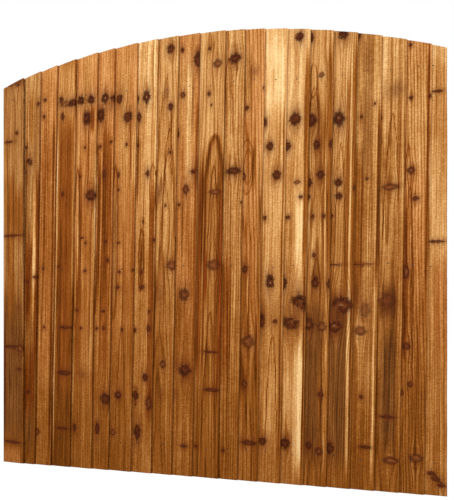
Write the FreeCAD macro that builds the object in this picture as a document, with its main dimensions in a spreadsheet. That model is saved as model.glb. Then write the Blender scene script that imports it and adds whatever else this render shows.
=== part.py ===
import FreeCAD, Part
import math
import os

import Sketcher

# An arched featheredge fence panel: tapered boards set upright, each lapping the next one's thin edge,
# nailed to three rails that run between two side battens, with their tops sawn to one shallow arch.
# X runs along the panel to the right as seen from the board face, Y to the back and Z up, in millimetres.
# The origin is on the left batten's outer face, at the middle of its depth and level with the foot.

doc = FreeCAD.newDocument("FeatheredgePanel")

SIZES = [
    ("PanelWidth", 1830, "overall width of the panel"),
    ("ShoulderHeight", 1650, "height of the panel at its two sides"),
    ("ArchRise", 150, "rise of the arch from the shoulders to the crown"),
    ("BoardWidth", 125, "full width of a featheredge board"),
    ("ButtThickness", 11, "thickness of a board at its thick edge"),
    ("FeatherThickness", 4, "thickness of a board at its thin edge"),
    ("EvenLap", 35, "least overlap of one board on the next where the spacing is even"),
    ("FirstBoardWidth", 110, "width of the left board, which is ripped to fit"),
    ("SecondBoardShow", 50, "width of the second board that shows at the foot"),
    ("LastBoardShow", 83, "width of the right board that shows at the foot"),
    ("BoardLean", 30, "how far the inner boards lean to the right over the shoulder height"),
    ("ThirdBoardShift", -11, "how far the third board lies to the right of even spacing"),
    ("FourthBoardShift", -11, "how far the fourth board lies to the right of even spacing"),
    ("SixthBoardShift", -12, "how far the sixth board lies to the right of even spacing"),
    ("EleventhBoardShift", 18, "how far the eleventh board lies to the right of even spacing"),
    ("TwelfthBoardShift", 9, "how far the twelfth board lies to the right of even spacing"),
    ("LapClearance", 0.2, "space left where one board rests on the next"),
    ("FrameDepth", 32, "depth of the rails and battens, front to back"),
    ("BattenWidth", 38, "width of a side batten"),
    ("BattenSetDown", 12, "how far a batten stops below the shoulder"),
    ("RailHeight", 38, "height of a rail"),
    ("BottomRailRise", 104, "height of the bottom rail's underside above the foot"),
    ("TopRailDrop", 49, "depth of the top rail's upper side below the shoulder"),
    ("ArrisEase", 2, "chamfer along the sawn arrises of rails and battens"),
    ("SawMargin", 40, "length of stock past the finished outline, sawn away"),
]

sheet = doc.addObject("Spreadsheet::Sheet", "Sizes")
for row, (alias, length, meaning) in enumerate(SIZES, start=1):
    sheet.set(f"A{row}", alias)
    sheet.set(f"B{row}", str(length))
    sheet.set(f"C{row}", meaning)
    sheet.setAlias(f"B{row}", alias)
doc.recompute()

# A sketch numbers a line's two ends 1 and 2, and its own axes as the curves -1 and -2.
START, END = range(1, 3)
HORIZONTAL_AXIS, VERTICAL_AXIS = range(-1, -3, -1)
ORIGIN = (HORIZONTAL_AXIS, START)
UP = FreeCAD.Vector(0, 0, 1)

BOARD_PLANE = "-Sizes.FrameDepth / 2"
LEAN_SLOPE = "(Sizes.BoardLean / Sizes.ShoulderHeight)"
CROWN_HEIGHT = "(Sizes.ShoulderHeight + Sizes.ArchRise)"


def size(alias):
    return float(sheet.get(alias))


def sketch_on(body, name, role):
    """A sketch on one of the body's own origin planes."""
    plane = next(item for item in body.Origin.OriginFeatures if item.Role == role)
    sketch = body.newObject("Sketcher::SketchObject", name)
    sketch.AttachmentSupport = [(plane, "")]
    sketch.MapMode = "FlatFace"
    return sketch


def quadrilateral(sketch, corners):
    """Four straight lines joined through the corners, the first corner pinned to the sketch's origin."""
    points = [FreeCAD.Vector(across, along, 0) for across, along in corners]
    lines = [
        sketch.addGeometry(Part.LineSegment(start, end), False)
        for start, end in zip(points, points[1:] + points[:1])
    ]
    for line, following in zip(lines, lines[1:] + lines[:1]):
        sketch.addConstraint(Sketcher.Constraint("Coincident", line, END, following, START))
    sketch.addConstraint(Sketcher.Constraint("Coincident", lines[0], START, *ORIGIN))
    return lines


def measure(sketch, kind, place, name, expression):
    """A named dimension of the sketch: set first as it is drawn, then bound to the sheet."""
    span = sketch.getPoint(*place[2:]) - sketch.getPoint(*place[:2])
    drawn = span.x if kind == "DistanceX" else span.y
    index = sketch.addConstraint(Sketcher.Constraint(kind, *place, drawn))
    sketch.renameConstraint(index, name)
    sketch.setExpression(f"Constraints.{name}", expression)


# The boards are counted from the left. The right one is laid first, flat on the frame, and the others follow
# to the left: each rests its thick edge on the front of the board before it and its thin edge on the rails.
# From the second board's thick edge to the last but one's the spacing is even, as wide as the even lap
# allows, but for a few boards that were nailed on by eye, a little to one side.
FIRST_EVEN_EDGE = "Sizes.FirstBoardWidth + Sizes.SecondBoardShow"
FIRST_EVEN_BOARD = 2
EVEN_SPAN = f"(Sizes.PanelWidth - ({FIRST_EVEN_EDGE}) - Sizes.LastBoardShow)"
even_span = size("PanelWidth") - size("FirstBoardWidth") - size("SecondBoardShow") - size("LastBoardShow")
covers = math.ceil(even_span / (size("BoardWidth") - size("EvenLap")))
SHIFTED_BOARDS = {
    3: "ThirdBoardShift",
    4: "FourthBoardShift",
    6: "SixthBoardShift",
    11: "EleventhBoardShift",
    12: "TwelfthBoardShift",
}


def even_edge(step):
    """The thick edge at the foot after a number of even covers, moved by the board's own shift if any."""
    edge = f"{FIRST_EVEN_EDGE} + {step} * {EVEN_SPAN} / {covers}"
    shift = SHIFTED_BOARDS.get(FIRST_EVEN_BOARD + step)
    return f"({edge} + Sizes.{shift})" if shift else f"({edge})"


# Where each board's thick edge stands at the foot, from the panel's left side.
THICK_EDGES = [
    "Sizes.FirstBoardWidth",
    *[even_edge(step) for step in range(covers + 1)],
    "Sizes.PanelWidth",
]
LEFT, RIGHT = 0, len(THICK_EDGES) - 1


def board_name(place):
    return f"board_{place + 1:02d}"


def board_width(place):
    return "Sizes.FirstBoardWidth" if place == LEFT else "Sizes.BoardWidth"


def thin_edge(place):
    return f"({THICK_EDGES[place]} - {board_width(place)})"


def lean(place):
    """The board's shift to the right for each unit of height: the two outer boards stand plumb."""
    return "0" if place in (LEFT, RIGHT) else LEAN_SLOPE


def greatest_lap(place):
    """The most that the board overlaps the next one on its right, at the foot or at the crown."""
    at_foot = f"({THICK_EDGES[place]} - {thin_edge(place + 1)})"
    growth = f"({lean(place)} - {lean(place + 1)}) * {CROWN_HEIGHT}"
    return f"({at_foot} + max(0; {growth}))"


def standoff(place):
    """How far the front of the thick edge stands off the frame, seated on the next board's sloping front."""
    if place == RIGHT:
        return "Sizes.ButtThickness"
    next_standoff = f"{board_name(place + 1)}_section.Constraints.Standoff / 1 mm"
    slope = f"({next_standoff} - Sizes.FeatherThickness) / Sizes.BoardWidth"
    seat = f"Sizes.FeatherThickness + {slope} * {greatest_lap(place)}"
    return f"Sizes.ButtThickness + {seat} + Sizes.LapClearance"


def board_section(body, place):
    """The tapered section at the foot: a wedge tilted so that its thick edge clears the next board."""
    width, butt, thin = (size(a) for a in ("BoardWidth", "ButtThickness", "FeatherThickness"))
    sketch = sketch_on(body, f"{board_name(place)}_section", "XY_Plane")
    back, edge, front, feather = quadrilateral(
        sketch, [(0, 0), (width, -butt), (width, -butt - butt), (0, -thin)])
    for line in (edge, feather):
        sketch.addConstraint(Sketcher.Constraint("Vertical", line))
    thin_thickness = (
        "Sizes.ButtThickness - (Sizes.ButtThickness - Sizes.FeatherThickness)"
        f" * {board_width(place)} / Sizes.BoardWidth"
    )
    measure(sketch, "DistanceX", (back, START, back, END), "Width", board_width(place))
    measure(sketch, "DistanceY", (edge, END, edge, START), "Butt", "Sizes.ButtThickness")
    measure(sketch, "DistanceY", (feather, START, feather, END), "Feather", thin_thickness)
    measure(sketch, "DistanceY", (front, START, *ORIGIN), "Standoff", standoff(place))
    return sketch


def arch_waste(body, place):
    """The waste above the arch, drawn from its chord between the shoulders and its rise at the crown."""
    width, shoulder = size("PanelWidth"), size("ShoulderHeight")
    rise, margin = size("ArchRise"), size("SawMargin")
    radius = (width ** 2 / 4 + rise ** 2) / (2 * rise)
    centre = FreeCAD.Vector(width / 2, shoulder + rise - radius, 0)
    half_angle = math.asin((width / 2 + margin) / radius)
    sketch = sketch_on(body, f"{board_name(place)}_arch", "XZ_Plane")
    sketch.setExpression("AttachmentOffset.Base.x", f"-{thin_edge(place)}")
    circle = Part.Circle(centre, UP, radius)
    arc = sketch.addGeometry(
        Part.ArcOfCircle(circle, math.pi / 2 - half_angle, math.pi / 2 + half_angle), False)
    spring = centre.y + radius * math.cos(half_angle)
    top = shoulder + rise + margin
    corners = [FreeCAD.Vector(*point, 0) for point in (
        (-margin, spring), (-margin, top), (width + margin, top), (width + margin, spring))]
    left, over, right = [
        sketch.addGeometry(Part.LineSegment(a, b), False) for a, b in zip(corners, corners[1:])
    ]
    chord = sketch.addGeometry(
        Part.LineSegment(FreeCAD.Vector(0, shoulder, 0), FreeCAD.Vector(width, shoulder, 0)), True)
    crown = sketch.addGeometry(Part.Point(FreeCAD.Vector(width / 2, shoulder + rise, 0)), True)
    for rule in (
        ("Coincident", arc, END, left, START),
        ("Coincident", left, END, over, START),
        ("Coincident", over, END, right, START),
        ("Coincident", right, END, arc, START),
        ("Vertical", left),
        ("Horizontal", over),
        ("Vertical", right),
        ("Horizontal", chord),
        ("PointOnObject", chord, START, VERTICAL_AXIS),
        ("PointOnObject", chord, START, arc),
        ("PointOnObject", chord, END, arc),
        ("PointOnObject", crown, START, arc),
    ):
        sketch.addConstraint(Sketcher.Constraint(*rule))
    measure(sketch, "DistanceX", (chord, START, chord, END), "Chord", "Sizes.PanelWidth")
    measure(sketch, "DistanceY", (*ORIGIN, chord, START), "Shoulder", "Sizes.ShoulderHeight")
    measure(sketch, "DistanceX", (*ORIGIN, crown, START), "CrownPlace", "Sizes.PanelWidth / 2")
    measure(sketch, "DistanceY", (*ORIGIN, crown, START), "CrownHeight", CROWN_HEIGHT)
    measure(sketch, "DistanceX", (left, START, *ORIGIN), "LeftMargin", "Sizes.SawMargin")
    measure(sketch, "DistanceX", (chord, END, right, END), "RightMargin", "Sizes.SawMargin")
    measure(sketch, "DistanceY", (crown, START, over, START), "TopMargin", "Sizes.SawMargin")
    return sketch


def featheredge_board(place):
    """One board: the section run up its leaning line, then its top sawn to the arch."""
    body = doc.addObject("PartDesign::Body", board_name(place))
    body.Label = board_name(place)
    pad = body.newObject("PartDesign::Pad", f"{board_name(place)}_stock")
    pad.Profile = board_section(body, place)
    pad.UseCustomVector = True
    pad.AlongSketchNormal = True
    pad.Direction = UP
    pad.setExpression("Direction.x", lean(place))
    pad.setExpression("Length", f"{CROWN_HEIGHT} + Sizes.SawMargin / 2")
    saw = body.newObject("PartDesign::Pocket", f"{board_name(place)}_saw")
    saw.Profile = arch_waste(body, place)
    saw.SideType = "Symmetric"
    saw.Type = "ThroughAll"
    body.Tip = saw
    body.setExpression("Placement.Base.x", thin_edge(place))
    body.setExpression("Placement.Base.y", BOARD_PLANE)
    return body


def sawn_length(name, plane, length, across, along):
    """A length of square-sawn timber run out from the plane, its long arrises eased."""
    body = doc.addObject("PartDesign::Body", name)
    body.Label = name
    sketch = sketch_on(body, f"{name}_section", plane)
    wide, deep = size(across), size(along)
    first, second, third, fourth = quadrilateral(sketch, [(0, 0), (wide, 0), (wide, deep), (0, deep)])
    for line in (first, third):
        sketch.addConstraint(Sketcher.Constraint("Horizontal", line))
    for line in (second, fourth):
        sketch.addConstraint(Sketcher.Constraint("Vertical", line))
    measure(sketch, "DistanceX", (first, START, first, END), "Across", f"Sizes.{across}")
    measure(sketch, "DistanceY", (second, START, second, END), "Along", f"Sizes.{along}")
    pad = body.newObject("PartDesign::Pad", f"{name}_stock")
    pad.Profile = sketch
    pad.setExpression("Length", length)
    doc.recompute()
    run = max(edge.Length for edge in pad.Shape.Edges)
    arrises = [
        f"Edge{index}"
        for index, edge in enumerate(pad.Shape.Edges, start=1)
        if math.isclose(edge.Length, run)
    ]
    ease = body.newObject("PartDesign::Chamfer", f"{name}_arrises")
    ease.Base = (pad, arrises)
    ease.setExpression("Size", "Sizes.ArrisEase")
    body.Tip = ease
    body.setExpression("Placement.Base.y", BOARD_PLANE)
    return body


def side_batten(name, left_face):
    """An upright that closes one side of the frame and carries the panel on its post."""
    batten = sawn_length(
        name, "XY_Plane", "Sizes.ShoulderHeight - Sizes.BattenSetDown", "BattenWidth", "FrameDepth")
    batten.setExpression("Placement.Base.x", left_face)
    return batten


def rail(name, underside):
    """A rail cut to fit between the battens, which it meets end on."""
    piece = sawn_length(
        name, "YZ_Plane", "Sizes.PanelWidth - 2 * Sizes.BattenWidth", "FrameDepth", "RailHeight")
    piece.setExpression("Placement.Base.x", "Sizes.BattenWidth")
    piece.setExpression("Placement.Base.z", underside)
    return piece


boards = [featheredge_board(place) for place in reversed(range(len(THICK_EDGES)))]

battens = [
    side_batten("side_batten_left", "0"),
    side_batten("side_batten_right", "Sizes.PanelWidth - Sizes.BattenWidth"),
]

BOTTOM_UNDERSIDE = "Sizes.BottomRailRise"
TOP_UNDERSIDE = "(Sizes.ShoulderHeight - Sizes.TopRailDrop - Sizes.RailHeight)"
rails = [
    rail("rail_bottom", BOTTOM_UNDERSIDE),
    rail("rail_middle", f"({BOTTOM_UNDERSIDE} + {TOP_UNDERSIDE}) / 2"),
    rail("rail_top", TOP_UNDERSIDE),
]

doc.recompute()

for item in doc.Objects:
    if "Invalid" in item.State or "Error" in item.State:
        raise RuntimeError(f"{item.Name} did not recompute: {item.State}")

pieces = boards + battens + rails
for piece in pieces:
    if piece.Shape.isNull() or not piece.Shape.isValid() or len(piece.Shape.Solids) != 1:
        raise RuntimeError(f"{piece.Label} is not one sound solid")

os.makedirs("parts", exist_ok=True)
for piece in pieces:
    piece.Shape.exportStep(f"parts/{piece.Label}.step")
    print(piece.Label, round(piece.Shape.Volume / 1e3), "cm3", piece.Shape.BoundBox)
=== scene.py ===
"""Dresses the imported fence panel: sawn featheredge boards, back frame and nails in brown-treated softwood."""

import math

import bpy
import numpy as np
from bpy.props import FloatProperty, FloatVectorProperty, IntProperty, PointerProperty
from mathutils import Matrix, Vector


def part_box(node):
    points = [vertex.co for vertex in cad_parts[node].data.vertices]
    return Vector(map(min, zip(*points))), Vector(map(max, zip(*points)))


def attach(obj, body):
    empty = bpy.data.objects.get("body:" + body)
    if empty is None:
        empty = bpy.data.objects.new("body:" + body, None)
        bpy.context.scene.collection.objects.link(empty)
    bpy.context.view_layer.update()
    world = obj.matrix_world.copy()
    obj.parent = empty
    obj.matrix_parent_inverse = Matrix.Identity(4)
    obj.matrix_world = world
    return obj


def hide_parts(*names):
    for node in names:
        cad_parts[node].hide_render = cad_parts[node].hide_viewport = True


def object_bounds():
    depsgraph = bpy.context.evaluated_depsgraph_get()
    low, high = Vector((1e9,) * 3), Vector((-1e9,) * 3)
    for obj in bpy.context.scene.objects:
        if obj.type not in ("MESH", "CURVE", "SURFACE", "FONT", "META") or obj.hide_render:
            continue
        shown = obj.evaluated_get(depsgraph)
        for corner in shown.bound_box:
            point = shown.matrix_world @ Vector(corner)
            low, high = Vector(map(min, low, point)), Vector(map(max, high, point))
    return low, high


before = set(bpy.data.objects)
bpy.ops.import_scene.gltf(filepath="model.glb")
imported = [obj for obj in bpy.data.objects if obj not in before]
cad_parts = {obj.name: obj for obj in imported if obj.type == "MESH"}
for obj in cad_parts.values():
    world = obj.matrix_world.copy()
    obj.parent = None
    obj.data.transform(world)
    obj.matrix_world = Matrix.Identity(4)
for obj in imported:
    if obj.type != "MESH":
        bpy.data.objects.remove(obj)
CAD_LOW, CAD_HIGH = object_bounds()

bl_info = {
    "name": "Arched featheredge fence panel",
    "version": (1, 0, 0),
    "blender": (4, 5, 0),
    "location": "View3D > Sidebar > Fence panel",
    "description": "Dresses the packed fence panel in sawn, brown pressure-treated timber",
    "category": "Add Mesh",
}

MM = 0.001
BODY = "root"
BOARD_NAMES = sorted(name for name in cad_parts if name.startswith("board_"))
RAIL_NAMES = sorted(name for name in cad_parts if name.startswith("rail_"))
BATTEN_NAMES = sorted(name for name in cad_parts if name.startswith("side_batten_"))
FRAME_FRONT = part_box("rail_bottom")[0].y
CROWN = CAD_HIGH.z
MIDDLE = (CAD_LOW.x + CAD_HIGH.x) / 2


def linear(code):
    """A colour written as sRGB hex, as the linear values that Blender works in."""
    values = [int(code[start:start + 2], 16) / 255 for start in (1, 3, 5)]
    return tuple(v / 12.92 if v <= 0.04045 else ((v + 0.055) / 1.055) ** 2.4 for v in values)


def length_property(name, description, default):
    return FloatProperty(
        name=name, description=description, default=default, min=0.0, max=0.5, precision=5,
        subtype="DISTANCE", unit="LENGTH")


def colour_property(name, description, code):
    return FloatVectorProperty(
        name=name, description=description, default=linear(code), size=3, min=0.0, max=1.0,
        subtype="COLOR")


class FencePanelSizes(bpy.types.PropertyGroup):
    """Sizes of what the saw, the hammer and the weather leave on the timber."""

    butt: length_property("Butt", "Thickness of a board at its thick edge", 11 * MM)
    feather: length_property("Feather", "Thickness of a full-width board at its thin edge", 4 * MM)
    board_width: length_property("Board width", "Full width of a featheredge board", 125 * MM)
    arris: length_property("Arris", "Width of the softened corner of a sawn board", 1.1 * MM)
    waver: length_property("Waver", "How far a sawn edge wanders from straight", 0.9 * MM)
    tear: length_property("Tear", "Depth of the roughness that the saw leaves on a face", 0.22 * MM)
    lift: length_property("Lift", "How far a board cups off its neighbour between nails", 1.3 * MM)
    chip: length_property("Chip", "Raggedness of the sawn tops", 1.6 * MM)
    bevel: FloatProperty(
        name="Bevel", description="How far the end cuts run out of square, for each unit of depth",
        default=0.28, min=0.0, max=1.0)
    frame_arris: length_property("Frame arris", "Softened corner of rails and battens", 2.2 * MM)
    frame_tear: length_property("Frame tear", "Roughness of rails and battens", 0.44 * MM)
    nail_head: length_property("Nail head", "Diameter of a nail head", 5.5 * MM)
    nail_rim: length_property("Nail rim", "Half the thickness of a nail head", 0.8 * MM)
    nail_inset: length_property("Nail inset", "Distance of a nail from a board's thick edge", 46 * MM)
    nail_tilt: FloatProperty(
        name="Nail tilt", description="How far a nail head may lean", default=0.12, min=0.0, max=0.5,
        subtype="ANGLE", unit="ROTATION")
    columns: IntProperty(name="Columns", description="Points across a board", default=40, min=8, max=60)
    layers: IntProperty(name="Layers", description="Points through a board", default=4, min=4, max=12)
    rows: IntProperty(name="Rows", description="Points up a board", default=220, min=20, max=400)


class FencePanelColours(bpy.types.PropertyGroup):
    """Colours of treated softwood, from the deepest stain to bare sapwood, and of the nails and floor."""

    umber: colour_property("Umber", "Deepest stain, in wet feet and resin", "#431E02")
    russet: colour_property("Russet", "Stained heartwood", "#6A3706")
    tan: colour_property("Tan", "Ordinary treated face", "#91541A")
    golden: colour_property("Golden", "Lightly stained face", "#B57B3E")
    honey: colour_property("Honey", "Pale sapwood", "#D6A163")
    cream: colour_property("Cream", "Bare sapwood along an edge", "#EFCB90")
    red_tint: colour_property("Red tint", "Reddens a face where heartwood took the stain", "#F2BFA4")
    knot: colour_property("Knot", "Sound knot", "#61290D")
    dead_knot: colour_property("Dead knot", "Bark ring and dead knot", "#280D04")
    knot_body: colour_property("Knot body", "Middle of a sound knot, inside its dark rim", "#7C451F")
    resin: colour_property("Resin", "Dried resin in the middle of a knot", "#B98D60")
    zinc: colour_property("Zinc", "Galvanised nail head", "#3C2E22")
    rust: colour_property("Rust", "Rust on a nail head", "#28150A")
    floor: colour_property("Floor", "Studio floor", "#F4F4F2")


def sizes():
    return bpy.context.scene.fence_panel_sizes


def colours():
    return bpy.context.scene.fence_panel_colours


def add_node(tree, kind, inputs=(), **settings):
    """Adds one node, applies its settings, then fills its inputs, by name or place, with values or links."""
    node = tree.nodes.new(kind)
    for name, value in settings.items():
        setattr(node, name, value)
    pairs = inputs.items() if isinstance(inputs, dict) else enumerate(inputs)
    for key, value in pairs:
        if isinstance(value, bpy.types.NodeSocket):
            tree.links.new(value, node.inputs[key])
        else:
            node.inputs[key].default_value = value
    return node


# Where things are.

def arch_radius():
    """Radius of the sawn arch, from the crown and the top corner of the plumb left board."""
    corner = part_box(BOARD_NAMES[0])[1]
    drop = CROWN - corner.z
    run = MIDDLE - corner.x
    return (run ** 2 + drop ** 2) / (2 * drop)


RADIUS = arch_radius()


def arch_height(x):
    return CROWN - RADIUS + np.sqrt(RADIUS ** 2 - (x - MIDDLE) ** 2)


class Board:
    """Where one featheredge board stands, read from its CAD solid."""

    def __init__(self, name):
        low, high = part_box(name)
        self.name = name
        self.number = int(name.split("_")[1])
        self.foot = low.x
        self.width = min(sizes().board_width, high.x - low.x)
        self.slope = (high.x - low.x - self.width) / float(arch_height(high.x))
        self.rise = FRAME_FRONT - low.y - sizes().butt
        taper = (sizes().butt - sizes().feather) / sizes().board_width
        self.feather = sizes().butt - taper * self.width

    def across(self, x, z):
        """Distance from the thin edge, square to the board's length."""
        return x - self.foot - self.slope * z

    def x_at(self, across, z):
        return self.foot + self.slope * z + across

    def thickness(self, across):
        return self.feather + (sizes().butt - self.feather) * across / self.width

    def front(self, across):
        """Y of the front face."""
        return FRAME_FRONT - self.rise * across / self.width - self.thickness(across)


# Geometry Nodes trees.

# Unevenness along a sawn board, as a smooth seeded line: waves a metre, detail and roughness.
UNEVENNESS = {
    "chip": (55.0, 3.0, 0.6),
    "waver": (4.0, 4.0, 0.55),
    "cup": (1.7, 1.0, 0.5),
}
# Noise keeps close to its middle value, so its swing is made larger on a board's edge and on its face.
WAVER_SWING = 4.0
TEAR_SWING = 2.0

# Tears of the saw, longer along a board than across it: waves a metre across, waves through the whole
# thickness and waves a metre along, then their detail. On the frame they are alike each way.
BOARD_TEARS, BOARD_TEAR_DETAIL = (130, 9, 45), 2.0
FRAME_TEARS, FRAME_TEAR_DETAIL = (60, 60, 60), 3.0

# A corner of a block moves in by this share of its arris, which rounds it.
CORNER_EASE = 0.3

# A nail head starts as a ball of few facets. A power below one presses it flat, and it may be spun nearly
# half round either way.
HEAD_SEGMENTS, HEAD_RINGS = 18, 10
HEAD_FLATNESS = 0.45
HEAD_SPIN = 3.0


def new_tree(name, **inputs):
    """An empty Geometry Nodes tree, and the sockets of its inputs, whose names are given by their kind."""
    tree = bpy.data.node_groups.new(name, "GeometryNodeTree")
    tree.is_modifier = True
    for kind, labels in inputs.items():
        for label in labels:
            tree.interface.new_socket(label, in_out="INPUT", socket_type=f"NodeSocket{kind}")
    tree.interface.new_socket("Geometry", in_out="OUTPUT", socket_type="NodeSocketGeometry")
    return tree, add_node(tree, "NodeGroupInput").outputs


def close_tree(tree, geometry, material):
    """Ends a tree as the export needs it: real geometry with its material."""
    real = add_node(tree, "GeometryNodeRealizeInstances", [geometry])
    painted = add_node(tree, "GeometryNodeSetMaterial", {"Geometry": real.outputs[0], "Material": material})
    add_node(tree, "NodeGroupOutput", [painted.outputs[0]])
    return tree


def unit_block(tree, given):
    """A block of points, and each point's share of the way along X, Y and Z."""
    block = add_node(tree, "GeometryNodeMeshCube", {
        "Size": (1, 1, 1), "Vertices X": given["Columns"], "Vertices Y": given["Layers"],
        "Vertices Z": given["Rows"]})
    middle = add_node(tree, "GeometryNodeInputPosition").outputs[0]
    corner = add_node(tree, "ShaderNodeVectorMath", [middle, (0.5, 0.5, 0.5)], operation="ADD").outputs[0]
    return block.outputs[0], add_node(tree, "ShaderNodeSeparateXYZ", [corner]).outputs


def spaced(tree, share, count, length, arris):
    """Turns an even row of points from 0 to 1 into distances with one short step at each end."""
    last = add_node(tree, "ShaderNodeMath", [count, 1.0], operation="SUBTRACT").outputs[0]
    step = add_node(tree, "ShaderNodeMath", [share, last], operation="MULTIPLY").outputs[0]
    before = add_node(tree, "ShaderNodeMath", [step, 1.0], operation="MINIMUM").outputs[0]
    inner_last = add_node(tree, "ShaderNodeMath", [last, 1.0], operation="SUBTRACT").outputs[0]
    past = add_node(tree, "ShaderNodeMath", [step, inner_last], operation="SUBTRACT").outputs[0]
    after = add_node(tree, "ShaderNodeMath", [past, 0.0], operation="MAXIMUM").outputs[0]
    inside = add_node(
        tree, "ShaderNodeMapRange", {"Value": step, "From Min": 1.0, "From Max": inner_last},
    ).outputs[0]
    ends = add_node(tree, "ShaderNodeMath", [before, after], operation="ADD").outputs[0]
    edge = add_node(tree, "ShaderNodeMath", [ends, arris], operation="MULTIPLY").outputs[0]
    body = add_node(tree, "ShaderNodeMath", [arris, -2.0, length], operation="MULTIPLY_ADD").outputs[0]
    distance = add_node(tree, "ShaderNodeMath", [inside, body, edge], operation="MULTIPLY_ADD").outputs[0]
    sign = add_node(tree, "ShaderNodeMath", [1.0, ends], operation="SUBTRACT").outputs[0]
    return distance, sign


def eased(tree, axes, arris):
    """Rounds the corners of a block: a point that is at the end of two or three axes moves inwards."""
    at_end = [add_node(tree, "ShaderNodeMath", [sign], operation="ABSOLUTE").outputs[0] for _, sign in axes]
    pair = add_node(tree, "ShaderNodeMath", at_end[:2], operation="ADD").outputs[0]
    count = add_node(tree, "ShaderNodeMath", [pair, at_end[2]], operation="ADD").outputs[0]
    corner = add_node(tree, "ShaderNodeMath", [count, 1.5], operation="GREATER_THAN").outputs[0]
    inward = add_node(tree, "ShaderNodeMath", [arris, CORNER_EASE], operation="MULTIPLY").outputs[0]
    shift = add_node(tree, "ShaderNodeMath", [corner, inward], operation="MULTIPLY").outputs[0]
    moved = []
    for distance, sign in axes:
        moved.append(add_node(
            tree, "ShaderNodeMath", [sign, shift, distance], operation="MULTIPLY_ADD").outputs[0])
    return moved


def uneven(tree, kind, position, seed):
    """A smooth seeded value between 0 and 1 along a distance, with the waves of its kind."""
    waves, detail, roughness = UNEVENNESS[kind]
    place = add_node(tree, "ShaderNodeMath", [position, waves, seed], operation="MULTIPLY_ADD").outputs[0]
    return add_node(
        tree, "ShaderNodeTexNoise", {"W": place, "Scale": 1.0, "Detail": detail, "Roughness": roughness},
        noise_dimensions="1D").outputs[0]


def torn_face(tree, place, waves, detail, given):
    """How far a sawn face stands above or below its plane."""
    close = add_node(tree, "ShaderNodeVectorMath", [place, waves], operation="MULTIPLY").outputs[0]
    tear = add_node(
        tree, "ShaderNodeTexNoise", {"Vector": close, "W": given["Seed"], "Scale": 1.0, "Detail": detail},
        noise_dimensions="4D").outputs[0]
    tear = add_node(tree, "ShaderNodeMath", [tear, 0.5], operation="SUBTRACT").outputs[0]
    return add_node(tree, "ShaderNodeMath", [tear, given["Tear"]], operation="MULTIPLY").outputs[0]


def arch_over(tree, start, given):
    """Height at which a leaning line from the foot meets the arch; twice round is exact enough."""
    square = add_node(tree, "ShaderNodeMath", [given["Radius"], 2.0], operation="POWER").outputs[0]
    centre = add_node(
        tree, "ShaderNodeMath", [given["Crown"], given["Radius"]], operation="SUBTRACT").outputs[0]
    height = given["Crown"]
    for _ in range(2):
        top = add_node(
            tree, "ShaderNodeMath", [given["Slope"], height, start], operation="MULTIPLY_ADD").outputs[0]
        run = add_node(tree, "ShaderNodeMath", [top, given["Middle"]], operation="SUBTRACT").outputs[0]
        run = add_node(tree, "ShaderNodeMath", [run, 2.0], operation="POWER").outputs[0]
        climb = add_node(tree, "ShaderNodeMath", [square, run], operation="SUBTRACT").outputs[0]
        climb = add_node(tree, "ShaderNodeMath", [climb], operation="SQRT").outputs[0]
        height = add_node(tree, "ShaderNodeMath", [centre, climb], operation="ADD").outputs[0]
    return height


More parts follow.
